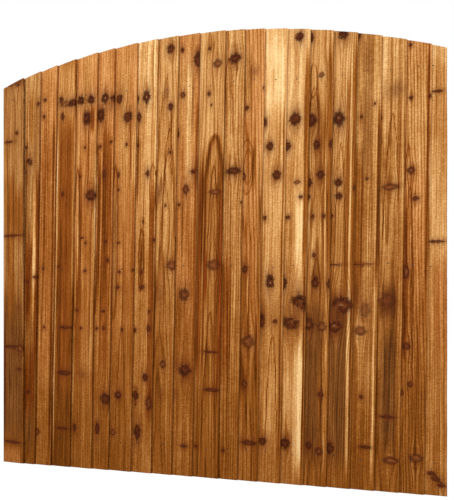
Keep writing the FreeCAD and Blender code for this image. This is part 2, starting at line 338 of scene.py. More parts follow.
def board_tree():
    """One featheredge board: a tapered, leaning length with sawn faces, its top cut to the arch."""
    tree, given = new_tree(
        "Featheredge board",
        Int=("Columns", "Layers", "Rows"),
        Float=(
            "Width", "Butt", "Feather", "Foot", "Slope", "Plane", "Rise", "Crown", "Middle", "Radius",
            "Arris", "Waver", "Tear", "Lift", "Chip", "Bevel", "Seed"),
        Material=("Material",))
    block, share = unit_block(tree, given)
    arris, seed = given["Arris"], given["Seed"]

    across = spaced(tree, share[0], given["Columns"], given["Width"], arris)
    fraction = add_node(tree, "ShaderNodeMath", [across[0], given["Width"]], operation="DIVIDE").outputs[0]
    taper = add_node(
        tree, "ShaderNodeMath", [given["Butt"], given["Feather"]], operation="SUBTRACT").outputs[0]
    thickness = add_node(
        tree, "ShaderNodeMath", [taper, fraction, given["Feather"]], operation="MULTIPLY_ADD").outputs[0]
    through = spaced(tree, share[1], given["Layers"], thickness, arris)

    start = add_node(tree, "ShaderNodeMath", [given["Foot"], across[0]], operation="ADD").outputs[0]
    chip = uneven(tree, "chip", start, seed)
    chip = add_node(tree, "ShaderNodeMath", [chip, 0.5], operation="SUBTRACT").outputs[0]
    height = add_node(
        tree, "ShaderNodeMath", [chip, given["Chip"], arch_over(tree, start, given)],
        operation="MULTIPLY_ADD").outputs[0]
    along = spaced(tree, share[2], given["Rows"], height, arris)
    across_at, through_at, along_at = eased(tree, [across, through, along], arris)

    # The sawn edges wander a little, the thick edge more than the thin one.
    wave = uneven(tree, "waver", along_at, seed)
    wave = add_node(tree, "ShaderNodeMath", [wave, 0.5], operation="SUBTRACT").outputs[0]
    wave = add_node(tree, "ShaderNodeMath", [wave, given["Waver"]], operation="MULTIPLY").outputs[0]
    wave = add_node(tree, "ShaderNodeMath", [wave, WAVER_SWING], operation="MULTIPLY").outputs[0]
    lean = add_node(
        tree, "ShaderNodeMath", [along_at, given["Slope"], given["Foot"]],
        operation="MULTIPLY_ADD").outputs[0]
    x = add_node(tree, "ShaderNodeMath", [lean, across_at], operation="ADD").outputs[0]
    x = add_node(tree, "ShaderNodeMath", [wave, fraction, x], operation="MULTIPLY_ADD").outputs[0]

    back = add_node(tree, "ShaderNodeMath", [given["Rise"], fraction], operation="MULTIPLY").outputs[0]
    back = add_node(tree, "ShaderNodeMath", [given["Plane"], back], operation="SUBTRACT").outputs[0]
    front = add_node(tree, "ShaderNodeMath", [back, thickness], operation="SUBTRACT").outputs[0]
    y = add_node(tree, "ShaderNodeMath", [front, through_at], operation="ADD").outputs[0]

    # Between its nails a board lifts its thick edge off the next one, never into it.
    cup = uneven(tree, "cup", along_at, seed)
    cup = add_node(tree, "ShaderNodeMath", [cup, given["Lift"]], operation="MULTIPLY").outputs[0]
    hold = add_node(tree, "ShaderNodeMath", [fraction, 2.0], operation="POWER").outputs[0]
    cup = add_node(tree, "ShaderNodeMath", [cup, hold], operation="MULTIPLY").outputs[0]
    y = add_node(tree, "ShaderNodeMath", [y, cup], operation="SUBTRACT").outputs[0]

    place = add_node(tree, "ShaderNodeCombineXYZ", [across_at, share[1], along_at]).outputs[0]
    tear = torn_face(tree, place, BOARD_TEARS, BOARD_TEAR_DETAIL, given)
    y = add_node(tree, "ShaderNodeMath", [tear, TEAR_SWING, y], operation="MULTIPLY_ADD").outputs[0]

    # The end cuts run a little out of square: the front of a board stops short of its back.
    proud = add_node(tree, "ShaderNodeMath", [given["Plane"], y], operation="SUBTRACT").outputs[0]
    short = add_node(tree, "ShaderNodeMath", [proud, given["Bevel"]], operation="MULTIPLY").outputs[0]
    part = add_node(tree, "ShaderNodeMath", [along_at, height], operation="DIVIDE").outputs[0]
    part = add_node(tree, "ShaderNodeMath", [part, -2.0, 1.0], operation="MULTIPLY_ADD").outputs[0]
    z = add_node(tree, "ShaderNodeMath", [short, part, along_at], operation="MULTIPLY_ADD").outputs[0]

    spot = add_node(tree, "ShaderNodeCombineXYZ", [x, y, z]).outputs[0]
    shaped = add_node(tree, "GeometryNodeSetPosition", {"Geometry": block, "Position": spot})
    return close_tree(tree, shaped.outputs[0], given["Material"])


def sawn_length_tree():
    """One square-sawn length of rail or batten between two corners, with rounded arrises and rough faces."""
    tree, given = new_tree(
        "Sawn length",
        Int=("Columns", "Layers", "Rows"),
        Vector=("Lowest", "Extent"),
        Float=("Arris", "Tear", "Seed"),
        Material=("Material",))
    block, share = unit_block(tree, given)
    extent = add_node(tree, "ShaderNodeSeparateXYZ", [given["Extent"]]).outputs
    counts = (given["Columns"], given["Layers"], given["Rows"])
    axes = [spaced(tree, share[i], counts[i], extent[i], given["Arris"]) for i in range(3)]
    inside = add_node(tree, "ShaderNodeCombineXYZ", eased(tree, axes, given["Arris"])).outputs[0]
    placed = add_node(tree, "ShaderNodeVectorMath", [given["Lowest"], inside], operation="ADD").outputs[0]

    # Each point moves along the normal of its face, and a point on an arris along those of both faces.
    tear = torn_face(tree, placed, FRAME_TEARS, FRAME_TEAR_DETAIL, given)
    signs = add_node(tree, "ShaderNodeCombineXYZ", [sign for _, sign in axes]).outputs[0]
    move = add_node(tree, "ShaderNodeVectorMath", {0: signs, "Scale": tear}, operation="SCALE").outputs[0]
    spot = add_node(tree, "ShaderNodeVectorMath", [placed, move], operation="ADD").outputs[0]
    shaped = add_node(tree, "GeometryNodeSetPosition", {"Geometry": block, "Position": spot})
    return close_tree(tree, shaped.outputs[0], given["Material"])


def nail_tree():
    """A round nail head centred on each seat point, turned out of true by a fixed chance."""
    tree, given = new_tree(
        "Nail heads",
        Geometry=("Geometry",),
        Float=("Diameter", "Rim", "Tilt"),
        Int=("Seed",),
        Material=("Material",))
    radius = add_node(tree, "ShaderNodeMath", [given["Diameter"], 0.5], operation="MULTIPLY").outputs[0]
    ball = add_node(tree, "GeometryNodeMeshUVSphere", {
        "Segments": HEAD_SEGMENTS, "Rings": HEAD_RINGS, "Radius": 1.0})
    spot = add_node(tree, "GeometryNodeInputPosition").outputs[0]
    part = add_node(tree, "ShaderNodeSeparateXYZ", [spot]).outputs
    # A nail head is a flat disc with a rolled rim: a power below one presses the ball's height flat.
    size = add_node(tree, "ShaderNodeMath", [part[2]], operation="ABSOLUTE").outputs[0]
    size = add_node(tree, "ShaderNodeMath", [size, HEAD_FLATNESS], operation="POWER").outputs[0]
    side = add_node(tree, "ShaderNodeMath", [part[2]], operation="SIGN").outputs[0]
    flat = add_node(tree, "ShaderNodeMath", [size, side], operation="MULTIPLY").outputs[0]
    flat = add_node(tree, "ShaderNodeMath", [flat, given["Rim"]], operation="MULTIPLY").outputs[0]
    wide = [
        add_node(tree, "ShaderNodeMath", [part[i], radius], operation="MULTIPLY").outputs[0] for i in (0, 1)]
    disc = add_node(tree, "ShaderNodeCombineXYZ", [*wide, flat]).outputs[0]
    pressed = add_node(tree, "GeometryNodeSetPosition", {"Geometry": ball.outputs[0], "Position": disc})
    tilt = given["Tilt"]
    least = add_node(tree, "ShaderNodeMath", [tilt, -1.0], operation="MULTIPLY").outputs[0]
    turn = add_node(tree, "FunctionNodeRandomValue", {
        "Min": add_node(tree, "ShaderNodeCombineXYZ", [least, least, -HEAD_SPIN]).outputs[0],
        "Max": add_node(tree, "ShaderNodeCombineXYZ", [tilt, tilt, HEAD_SPIN]).outputs[0],
        "Seed": given["Seed"]}, data_type="FLOAT_VECTOR")
    facing = add_node(tree, "GeometryNodeInputNamedAttribute", {"Name": "facing"}, data_type="FLOAT_VECTOR")
    aim = add_node(
        tree, "FunctionNodeAlignRotationToVector", {"Vector": facing.outputs[0]}, axis="Z")
    tip = add_node(tree, "FunctionNodeEulerToRotation", [turn.outputs[0]]).outputs[0]
    turned = add_node(
        tree, "FunctionNodeRotateRotation", [aim.outputs[0], tip], rotation_space="LOCAL").outputs[0]
    heads = add_node(tree, "GeometryNodeInstanceOnPoints", {
        "Points": given["Geometry"], "Instance": pressed.outputs[0], "Rotation": turned})
    return close_tree(tree, heads.outputs[0], given["Material"])


def grow(name, tree, values, seed_mesh=None):
    """Runs a tree with its inputs set, and returns the result as a plain piece at the origin."""
    source = bpy.data.objects.new(f"{name}_source", seed_mesh or bpy.data.meshes.new(f"{name}_source"))
    bpy.context.scene.collection.objects.link(source)
    modifier = source.modifiers.new("Shape", "NODES")
    modifier.node_group = tree
    sockets = {item.name: item.identifier for item in tree.interface.items_tree if item.in_out == "INPUT"}
    for label, value in values.items():
        modifier[sockets[label]] = value
    graph = bpy.context.evaluated_depsgraph_get()
    mesh = bpy.data.meshes.new_from_object(source.evaluated_get(graph))
    mesh.name = name
    bpy.data.objects.remove(source)
    if not mesh.polygons:
        raise RuntimeError(f"{name}: the tree {tree.name} gave no faces")
    piece = bpy.data.objects.new(name, mesh)
    bpy.context.scene.collection.objects.link(piece)
    return piece


def finish_shading(mesh, degrees):
    mesh.shade_smooth()
    mesh.set_sharp_from_angle(angle=math.radians(degrees))


# What the timber looks like: tones, knots and grain, as read from the front of the panel.

# Places are read from a level sheet over the front: millimetres from the panel's left side, and steps down
# from a line a little above the crown.
SHEET_TOP = 1826.5 * MM
SHEET_STEP = 0.982 * MM

# Each tone: how pale it is, how far it turns red, how far it greys.
TONES = {
    "cream": (0.92, 0.0, 0.0),
    "honey": (0.81, 0.0, 0.1),
    "golden": (0.69, 0.0, 0.0),
    "orange": (0.59, 0.3, 0.0),
    "tan": (0.59, 0.0, 0.1),
    "mauve": (0.54, 0.12, 0.3),
    "weathered": (0.53, 0.0, 0.3),
    "brown": (0.44, 0.1, 0.0),
    "chestnut": (0.40, 0.4, 0.0),
    "garnet": (0.42, 1.0, 0.0),
    "russet": (0.33, 0.5, 0.0),
    "moss": (0.31, 0.0, 0.27),
    "umber": (0.22, 0.3, 0.0),
}

# The ground tone of each board, by its number from the left.
GROUND_TONES = {
    "brown": (4,),
    "weathered": (1, 2),
    "orange": (3, 5, 6, 7, 10, 13, 20),
    "tan": (9, 11, 12, 16, 17, 18, 19),
    "golden": (8, 14, 15, 21),
}
FRAME_TONES = ("tan", "brown", "weathered")

# The ground is paler towards the top and darker towards the foot: the change of paleness at three heights.
PALENESS_HEIGHTS = (0.22, 0.90, 1.60)
PALENESS_CHANGES = (-0.14, 0.0, 0.11)

# Strips of another tone within a board: tone, left, right, upper and lower end on the reading sheet.
STRIPS = [
    ("weathered", 0, 108, -60, 1100), ("orange", 0, 95, 1775, 1900), ("mauve", 0, 60, 190, 700),
    ("moss", 2, 104, 1050, 1780), ("moss", 112, 158, 1320, 1840), ("tan", 0, 22, 250, 900),
    ("brown", 24, 60, 500, 1300),
    ("umber", 57, 60, 500, 1700), ("brown", 64, 108, 600, 900), ("umber", 0, 14, 1200, 1760),
    ("golden", 149, 168, 560, 1280), ("russet", 110, 160, 1300, 1700), ("umber", 110, 114, 200, 1800),
    ("tan", 120, 160, 160, 500), ("russet", 112, 146, 800, 1300),
    ("orange", 180, 236, 330, 1500), ("russet", 162, 176, 500, 1500), ("umber", 196, 199, 500, 1400),
    ("russet", 206, 210, 300, 1100), ("umber", 238, 247, 300, 1860),
    # The thin honey strip at 251 to 258 runs along a thick edge: pale sapwood with a painted highlight on the
    # edge.
    ("honey", 251, 258, 350, 1860), ("chestnut", 270, 330, 330, 1600), ("umber", 272, 280, 700, 1700),
    ("chestnut", 300, 306, 400, 1500),
    # The thin golden strips at 333 to 348 run along a thick edge: paler wood with a painted highlight on the
    # edge.
    ("golden", 341, 348, 240, 1150), ("golden", 333, 339, 1150, 1700), ("chestnut", 354, 374, 500, 1500),
    ("golden", 384, 424, 60, 400), ("umber", 374, 377, 600, 1250), ("umber", 410, 413, 260, 800),
    # The thin honey strip at 441 to 449 runs along a thick edge: pale sapwood with a painted highlight on the
    # edge. The umber line at 453 to 461 lies along the lap: painted shadow of the thick edge.
    ("russet", 424, 440, 290, 420), ("honey", 441, 449, 380, 1010), ("umber", 453, 461, 480, 1170),
    ("tan", 424, 438, 420, 1500), ("chestnut", 468, 500, 340, 1500), ("umber", 484, 487, 500, 1200),
    ("mauve", 522, 542, 580, 1180), ("golden", 548, 594, 60, 700), ("russet", 506, 512, 400, 1300),
    ("umber", 598, 602, 300, 700), ("russet", 566, 569, 700, 1300),
    ("golden", 606, 630, 350, 700), ("umber", 641, 649, 840, 1090), ("chestnut", 676, 700, 600, 1700),
    ("umber", 702, 706, 900, 1500), ("chestnut", 628, 634, 300, 800),
    ("umber", 775, 781, 300, 560), ("golden", 786, 850, 60, 500), ("chestnut", 740, 744, 900, 1400),
    ("brown", 786, 850, 1060, 1500), ("honey", 840, 864, 60, 700), ("orange", 834, 860, 700, 1300),
    ("umber", 820, 823, 640, 1050),
    ("weathered", 864, 872, 190, 480), ("chestnut", 873, 881, 250, 1500),
    # The umber line at 902 to 908 lies along a lap: painted shadow of the thick edge.
    ("tan", 914, 956, 560, 1300), ("russet", 884, 902, 520, 1500), ("umber", 902, 908, 500, 1100),
    ("russet", 962, 968, 480, 1700),
    ("umber", 972, 978, 500, 1600), ("russet", 980, 990, 600, 1560), ("russet", 908, 916, 620, 1500),
    ("tan", 986, 1036, 60, 480), ("chestnut", 985, 1022, 900, 1500),
    ("golden", 1041, 1049, 500, 1300), ("russet", 1010, 1013, 500, 1300),
    ("brown", 1058, 1080, 900, 1860), ("brown", 1112, 1126, 480, 700), ("umber", 1120, 1128, 1150, 1500),
    ("umber", 1090, 1093, 900, 1700), ("tan", 1056, 1110, 60, 400),
    # The cream strip at 1166 to 1240 and the honey one at 1248 to 1325, at the tops of boards 14 and 15, are
    # partly pale sapwood and partly a painted highlight of glare on those tops.
    ("cream", 1166, 1240, 50, 420), ("golden", 1150, 1218, 1300, 1760), ("tan", 1132, 1146, 500, 1200),
    ("golden", 1230, 1262, 500, 1100), ("tan", 1140, 1270, 1100, 1270), ("honey", 1248, 1325, 60, 420),
    ("golden", 1228, 1284, 1340, 1700),
    ("cream", 1276, 1310, 660, 1090), ("honey", 1268, 1290, 1240, 1860),
    ("cream", 1286, 1303, 1220, 1860), ("umber", 1222, 1226, 300, 1860),
    ("umber", 1306, 1311, 900, 1860),
    # The thin honey strip at 1390 to 1399, and the golden one below it at 1386 to 1395, run along a thick edge:
    # pale sapwood with a painted highlight on the edge. The brown strip at 1376 to 1384 paints a shadow band by
    # the lap.
    ("tan", 1316, 1384, 250, 900), ("moss", 1316, 1380, 1080, 1820), ("honey", 1390, 1399, 240, 1100),
    ("golden", 1386, 1395, 1100, 1860), ("brown", 1376, 1384, 300, 1860),
    # The brown strip at 1398 to 1412 paints the shade just right of a lap. The thin honey strip at 1477 to 1488
    # runs along a thick edge: pale sapwood with a painted highlight on the edge.
    ("brown", 1398, 1412, 700, 1860), ("honey", 1477, 1488, 120, 1860), ("brown", 1462, 1474, 200, 1860),
    # The umber line at 1489 to 1493 lies along a lap: painted shadow of the thick edge.
    ("moss", 1404, 1466, 1180, 1820), ("umber", 1489, 1493, 300, 1800),
    ("brown", 1496, 1522, 500, 1200), ("umber", 1525, 1531, 480, 1160), ("tan", 1536, 1562, 560, 1600),
    # The thin honey strip at 1569 to 1577 runs along a thick edge: pale sapwood with a painted highlight on the
    # edge. The umber lines at 1580 to 1590 lie along a lap: painted shadow of the thick edge.
    ("honey", 1569, 1577, 380, 1860), ("umber", 1581, 1590, 330, 1100), ("umber", 1580, 1584, 1100, 1860),
    ("moss", 1596, 1648, 1060, 1210), ("moss", 1312, 1384, 1130, 1340), ("moss", 1400, 1470, 1090, 1330),
    ("golden", 268, 348, 60, 360), ("honey", 150, 166, 820, 1120),
    # The brown strips at 1312 to 1338, 1398 to 1424, 1491 to 1512 and 1582 to 1602 darken a board's thin side
    # just right of a lap: painted shade. The thin honey strip at 357 to 364 runs along a thick edge: pale
    # sapwood with a painted highlight on the edge.
    ("brown", 1312, 1338, 100, 1060), ("brown", 1398, 1424, 60, 1060), ("brown", 1491, 1512, 100, 1160),
    ("brown", 1582, 1602, 500, 1260), ("weathered", 1530, 1566, 60, 700), ("honey", 357, 364, 330, 1080),
    ("garnet", 977, 986, 640, 1500), ("garnet", 912, 924, 900, 1160),
    ("tan", 1592, 1606, 500, 1240), ("moss", 1592, 1652, 1180, 1760), ("chestnut", 1654, 1657, 300, 1800),
    ("russet", 1672, 1690, 700, 1400), ("golden", 1694, 1756, 100, 700),
    ("umber", 1758, 1764, 100, 1100), ("honey", 1769, 1776, 360, 860), ("golden", 1782, 1830, 150, 900),
    ("orange", 1782, 1830, 900, 1400), ("umber", 1720, 1723, 1200, 1860),
]

# Pointed arches of dark grain: the tip, half the width at the lower end, the lower end's height on the
# sheet, half the width of the line, and whether the arch closes again below.
ARCHES = [
    (960, 455, 42, 690, 9.0, False), (956, 580, 24, 1000, 2.2, False), (952, 700, 16, 1300, 1.8, False),
    (648, 830, 11, 1090, 3.0, True), (532, 560, 15, 1210, 2.5, True), (450, 470, 8, 1180, 2.5, True),
    (359, 560, 12, 1250, 2.0, True), (770, 420, 26, 760, 1.8, False), (768, 500, 34, 900, 1.5, False),
    (1016, 150, 24, 420, 1.6, False), (1090, 480, 26, 700, 2.0, True), (1094, 520, 16, 660, 1.6, True),
    (1352, 290, 26, 560, 1.6, False), (1350, 200, 14, 330, 1.6, True), (1360, 960, 16, 1090, 1.8, False),
    (1696, 540, 26, 1300, 1.8, False), (1700, 700, 18, 1300, 1.6, False), (1640, 420, 30, 900, 1.4, False),
    (1452, 520, 20, 900, 1.4, False), (700, 560, 14, 760, 1.6, True), (330, 1300, 14, 1640, 2.0, True),
    (560, 1250, 24, 1700, 1.6, False), (940, 1180, 28, 1660, 2.2, False),
    (1190, 1270, 22, 1640, 1.4, False),
]

# Knots by kind: centre across, centre down, width, height. Kinds: how dark, how strong, how much resin.
KNOT_KINDS = {
    "dead": (0.82, 1.0, 0.1),
    "eyed": (0.80, 1.0, 1.0),
    "burl": (0.66, 1.0, 0.35),
    "sound": (0.0, 0.9, 0.2),
    "ringed": (0.4, 0.95, 0.3),
    "smudge": (0.5, 0.55, 0.0),
    "faint": (0.3, 0.10, 0.0),
    "pin": (0.8, 0.9, 0.0),
}
KNOTS = {
    "dead": [
        (340, 276, 56, 26), (375, 265, 34, 34), (405, 345, 36, 50), (467, 338, 34, 50),
        (775, 85, 32, 30), (823, 92, 14, 20), (1042, 150, 46, 34), (1295, 88, 30, 30),
        (1340, 95, 20, 28), (1460, 95, 35, 32), (1515, 102, 22, 26), (283, 255, 20, 20), (425, 268, 35, 32),
        (525, 278, 30, 32), (550, 272, 28, 34),
        (775, 325, 24, 26), (1278, 412, 42, 40), (1340, 420, 40, 44), (1180, 513, 28, 28),
        (1247, 515, 28, 30), (1360, 518, 24, 30), (1417, 520, 18, 26), (885, 600, 46, 26),
        (1035, 605, 60, 26),
        (1207, 630, 32, 30), (1330, 665, 25, 28), (1375, 636, 28, 28), (1441, 669, 30, 28),
        (1443, 722, 28, 24),
        (425, 682, 50, 40), (1080, 1004, 20, 24), (1355, 1057, 26, 40),
        (1408, 1063, 18, 32), (1147, 1210, 22, 50),
        (665, 1453, 26, 28),
        (833, 1420, 48, 42), (620, 1532, 28, 32), (490, 1550, 46, 38),
        (628, 1685, 28, 58), (450, 1682, 20, 44), (1238, 1695, 38, 36), (1151, 1692, 28, 28),
        (1410, 1705, 26, 34), (1330, 1698, 22, 26),
    ],
    "eyed": [
        (590, 352, 40, 38), (637, 356, 20, 32), (670, 275, 34, 48), (1443, 422, 42, 48),
        (1233, 1060, 25, 46), (487, 268, 34, 36),
        (133, 522, 32, 30), (1180, 1053, 32, 46), (893, 140, 40, 52), (543, 1535, 28, 26),
    ],
    "burl": [
        (1297, 1137, 70, 60), (1455, 1145, 72, 54), (1263, 1215, 60, 50), (1428, 1228, 45, 38),
        (1327, 1220, 42, 40),
    ],
    "sound": [
        (972, 165, 40, 30), (953, 985, 56, 36), (780, 984, 44, 36), (1633, 695, 66, 22),
        (960, 687, 50, 20), (1380, 1230, 34, 32), (1523, 1245, 40, 30), (1094, 1295, 52, 44),
        (95, 1345, 36, 30), (1380, 246, 22, 20), (1632, 1735, 56, 24), (1720, 1720, 50, 28),
        (80, 160, 52, 40), (1286, 661, 26, 16), (163, 1712, 36, 30), (520, 1695, 28, 24),
    ],
    "ringed": [
        (825, 278, 22, 22),
        (1687, 1020, 24, 40), (830, 1107, 42, 44), (1075, 628, 22, 24), (1704, 635, 28, 24),
        (1688, 1300, 28, 24), (680, 1562, 28, 44), (1078, 1465, 22, 24), (1368, 1718, 28, 28),
        (838, 672, 25, 36), (740, 1397, 26, 28), (1700, 1443, 18, 20), (1670, 1477, 16, 18),
    ],
    "smudge": [
        (300, 275, 60, 28), (1620, 1128, 56, 50),
        (1540, 1165, 34, 46), (70, 165, 70, 26),
    ],
    "faint": [
        (755, 272, 26, 30), (724, 669, 28, 36), (1650, 325, 54, 30),
        (718, 1107, 40, 44), (1500, 1120, 50, 60), (1120, 208, 20, 22),
        (725, 1522, 26, 30), (790, 1518, 24, 26), (795, 1400, 20, 26), (88, 1168, 24, 18),
        (380, 1450, 40, 20), (125, 545, 30, 60), (1275, 1175, 60, 80), (520, 290, 60, 40),
        (1420, 1180, 60, 60), (885, 610, 40, 50),
    ],
    "pin": [
        (938, 98, 12, 14), (1703, 160, 12, 12), (1705, 360, 14, 12), (1770, 362, 10, 10),
        (180, 270, 14, 16),
        (208, 252, 16, 12), (630, 280, 12, 26), (935, 283, 14, 16), (945, 330, 8, 8), (203, 325, 14, 14),
        (291, 330, 18, 26), (1090, 353, 16, 14), (75, 390, 18, 12), (30, 425, 48, 8), (118, 455, 12, 12),
        (118, 565, 10, 10), (395, 472, 10, 10), (463, 472, 12, 14), (515, 456, 14, 10), (583, 470, 12, 12),
        (632, 476, 10, 16), (803, 440, 14, 26), (773, 515, 12, 12), (1160, 415, 16, 28), (1157, 280, 8, 8),
        (1527, 420, 10, 12), (1575, 375, 8, 8), (1598, 428, 8, 10), (675, 598, 18, 24), (483, 592, 16, 28),
        (545, 597, 12, 24), (370, 596, 10, 14), (1502, 695, 12, 18), (1547, 660, 14, 10),
        (1720, 742, 22, 14),
        (1300, 720, 16, 12), (1327, 720, 20, 16), (290, 668, 14, 18), (752, 735, 9, 9), (808, 733, 11, 11),
        (1068, 735, 9, 9), (1160, 798, 14, 14), (1250, 798, 18, 12), (1345, 798, 12, 14),
        (1387, 798, 13, 13),
        (1417, 798, 13, 13), (50, 845, 110, 8), (703, 878, 12, 10), (165, 1030, 24, 12),
        (1200, 1212, 18, 16),
        (203, 1250, 10, 10), (310, 1250, 64, 10), (375, 1252, 12, 10), (447, 1252, 12, 10),
        (480, 1250, 12, 12),
        (562, 1255, 12, 14), (617, 1257, 14, 14), (680, 1248, 18, 22), (683, 1178, 12, 12),
        (88, 1438, 24, 10),
        (300, 1447, 60, 18), (1375, 1495, 22, 14), (1525, 1498, 14, 12), (128, 1538, 14, 14),
        (620, 1570, 8, 8), (345, 1685, 16, 28), (290, 1690, 56, 9), (1095, 1702, 60, 18),
        (1540, 1690, 42, 10),
        (1620, 1570, 52, 9), (830, 1732, 26, 12), (878, 1732, 14, 10), (992, 1740, 14, 10),
        (945, 1495, 62, 14),
        (940, 1340, 60, 8), (1797, 342, 40, 8), (1790, 905, 56, 10), (498, 960, 14, 14),
        (650, 1075, 22, 14),
        (70, 158, 60, 9), (95, 150, 26, 12), (42, 172, 40, 8), (1430, 988, 70, 5), (1530, 988, 70, 5),
        (320, 285, 50, 8), (300, 268, 40, 7), (1350, 950, 14, 16), (545, 660, 12, 12),
        (40, 1340, 76, 12), (125, 1050, 16, 10), (655, 800, 7, 14), (52, 1764, 84, 10),
        (380, 862, 18, 8), (398, 885, 12, 8), (488, 880, 18, 10), (545, 886, 14, 8),
        (200, 992, 12, 10), (270, 984, 12, 10), (395, 1005, 16, 8), (548, 1010, 14, 10),
        (540, 1075, 18, 12), (612, 1003, 12, 10), (645, 1012, 12, 10), (355, 1175, 16, 8),
        (478, 1178, 16, 10), (1776, 1776, 26, 14), (1792, 1796, 28, 16), (1810, 1818, 26, 14),
    ],
}

# Where the heart of the tree lay: across the board at its foot and top, behind its face at its foot and
# top, how wide its rings are and how plainly they show. A heart close behind the face draws tall pointed
# arches; one far to the side draws straight lines.
HEARTS = {
    2: (80, 80, 50, 20, 6.0, 0.8),
    8: (170, 150, 30, 50, 7.0, 0.9),
    9: (62, 70, 45, 85, 7.0, 1.2),
    11: (70, 66, 30, 47, 6.5, 1.1),
    12: (20, 40, 50, 80, 8.0, 1.4),
    13: (60, 30, 40, 70, 9.0, 1.4),
    14: (190, 170, 35, 60, 9.0, 0.25),
    15: (200, 180, 35, 60, 9.0, 0.25),
    16: (75, 70, 40, 65, 8.0, 1.2),
    17: (180, 190, 40, 60, 8.0, 1.2),
    19: (80, 50, 60, 40, 7.5, 1.2),
    20: (-60, -110, 30, 40, 10.5, 1.6),
    21: (200, 200, 30, 30, 8.0, 0.8),
}

# The grain leaves the straight by this much over such a length, in a long sway and a short one, and the
# heart does so too.
GRAIN_SWAYS = ((1.6 * MM, 1.3), (0.5 * MM, 0.31))
HEART_SWAY, HEART_SWAY_LENGTH = 2 * MM, 0.8

# Where no knot is near, a point's place in the knots' own coordinates lies past every rim.
PAST_EVERY_KNOT = (3.0, 3.0, 9.0)

# A knot pushes the grain aside over this reach at least, and so many times further along the board. What it
# gathers of the stain runs past it by a margin.
LEAST_REACH = 5 * MM
FLOW_LENGTH = 2.7
FLOW_STRENGTH = 0.6
HALO_MARGIN = 2 * MM

# A knot's crown stands proud, and the bark round it is sunk in a narrow ring at its rim.
KNOT_CROWN = 0.45 * MM
BARK_DEPTH = 0.4 * MM
BARK_RIM, BARK_WIDTH = 1.05, 0.22

# A strip's sides drift and are blurred, its ends run out raggedly, and stain gathers in a line at its sides.
STRIP_DRIFT, STRIP_DRIFT_LENGTH = 1.3 * MM, 0.9
STRIP_BLUR = 2 * MM
END_LEAD = 10 * MM
LONGEST_RUN_OUT = 160 * MM
RAGGEDNESS, RAG_WIDTH = 14 * MM, 0.03
LINE_DARKNESS, LINE_WIDTH, LINE_LENGTH = 0.09, 1.6 * MM, 0.5

# The legs of an arch of grain waver by this much, and it takes so much of the umber tone.
LEG_WAVER, LEG_WAVER_LENGTH = 1.5 * MM, 0.13
ARCH_STRENGTH = 0.9


def wander(position, wavelength, seed):
    """A smooth seeded line between about -1 and 1."""
    random = np.random.default_rng(seed)
    total = np.zeros_like(position)
    for octave in range(3):
        turn, stretch = random.uniform(0, 2 * math.pi), random.uniform(0.8, 1.25)
        total += np.sin(2 * math.pi * position * stretch * 2 ** octave / wavelength + turn) / 2 ** octave
    return total / 1.75


def fade(low, high, value):
    """0 below low, 1 above high, smooth between; low may be the larger."""
    t = np.clip((value - low) / (high - low), 0, 1)
    return t * t * (3 - 2 * t)


def points_of(mesh):
    points = np.empty(len(mesh.vertices) * 3, np.float32)
    mesh.vertices.foreach_get("co", points)
    return points.reshape(-1, 3).astype(float)


def add_fields(mesh, fields):
    """Stores each field on a mesh, as one value or one vector a point."""
    for name, values in fields.items():
        values = np.asarray(values, np.float32)
        kind, key = ("FLOAT", "value") if values.ndim == 1 else ("FLOAT_VECTOR", "vector")
        mesh.attributes.new(name, kind, "POINT").data.foreach_set(key, values.ravel())


def height_of(down):
    """Height of a place on the reading sheet."""
    return SHEET_TOP - down * SHEET_STEP


def board_at(boards, x, z):
    """The board whose face shows at a place on the front."""
    for board in boards:
        if x < board.x_at(board.width, z):
            return board
    return boards[-1]


def knots_of_boards(boards):
    """Each board's knots: across, height, half width, half height, then what its kind gives."""
    found = {board.name: [] for board in boards}
    for kind, spots in KNOTS.items():
        for x, down, width, height in spots:
            x, z = x * MM, height_of(down)
            board = board_at(boards, x, z)
            found[board.name].append(
                (board.across(x, z), z, width / 2 * MM, height / 2 * MM, KNOT_KINDS[kind]))
    return found


def arches_of_boards(boards):
    """Each board's arches: across and height of the tip, half width, lower end, half line, closed."""
    found = {board.name: [] for board in boards}
    for x, upper, half_width, lower, thickness, closed in ARCHES:
        tip = height_of(upper)
        board = board_at(boards, x * MM, tip)
        found[board.name].append(
            (board.across(x * MM, tip), tip, half_width * MM, height_of(lower), thickness * MM, closed))
    return found


def strips_of_boards(boards):
    """Each board's strips: tone, left and right distance across, lower and upper end."""
    found = {board.name: [] for board in boards}
    for tone, left, right, upper, lower in STRIPS:
        low, high = height_of(lower), height_of(upper)
        z = (low + high) / 2
        board = board_at(boards, (left + right) / 2 * MM, z)
        edges = [board.across(x * MM, z) for x in (left, right)]
        found[board.name].append((tone, *edges, low, high))
    return found


def knot_fields(across, along, knots):
    """The nearest knot in its own coordinates, its kind, the stain it gathers, and the push on the grain."""
    nearest = np.tile(PAST_EVERY_KNOT, (len(across), 1))
    kind = np.zeros((len(across), 3))
    halo = np.zeros(len(across))
    shift = np.zeros(len(across))
    for centre, height, half_width, half_height, kind_here in knots:
        darkness, strength, _ = kind_here
        dx, dz = across - centre, along - height
        reach = max(min(half_width, 1.3 * half_height), LEAST_REACH)
        flow = np.maximum(np.hypot(dx / reach, dz / (FLOW_LENGTH * reach)), 1)
        shift += dx * FLOW_STRENGTH * strength * np.exp(1 - flow) / flow ** 1.5
        spread_across = dx / (1.5 * half_width + HALO_MARGIN)
        spread_along = dz / (2.5 * half_height + HALO_MARGIN)
        spread = spread_across ** 2 + spread_along ** 2
        halo = np.maximum(halo, (0.5 + 0.5 * darkness) * np.exp(-spread))
        place = np.column_stack([dx / half_width, dz / half_height])
        ratio = np.hypot(*place.T)
        closer = ratio < nearest[:, 2]
        nearest[closer] = np.column_stack([place, ratio])[closer]
        kind[closer] = kind_here
    return nearest, kind, halo, shift


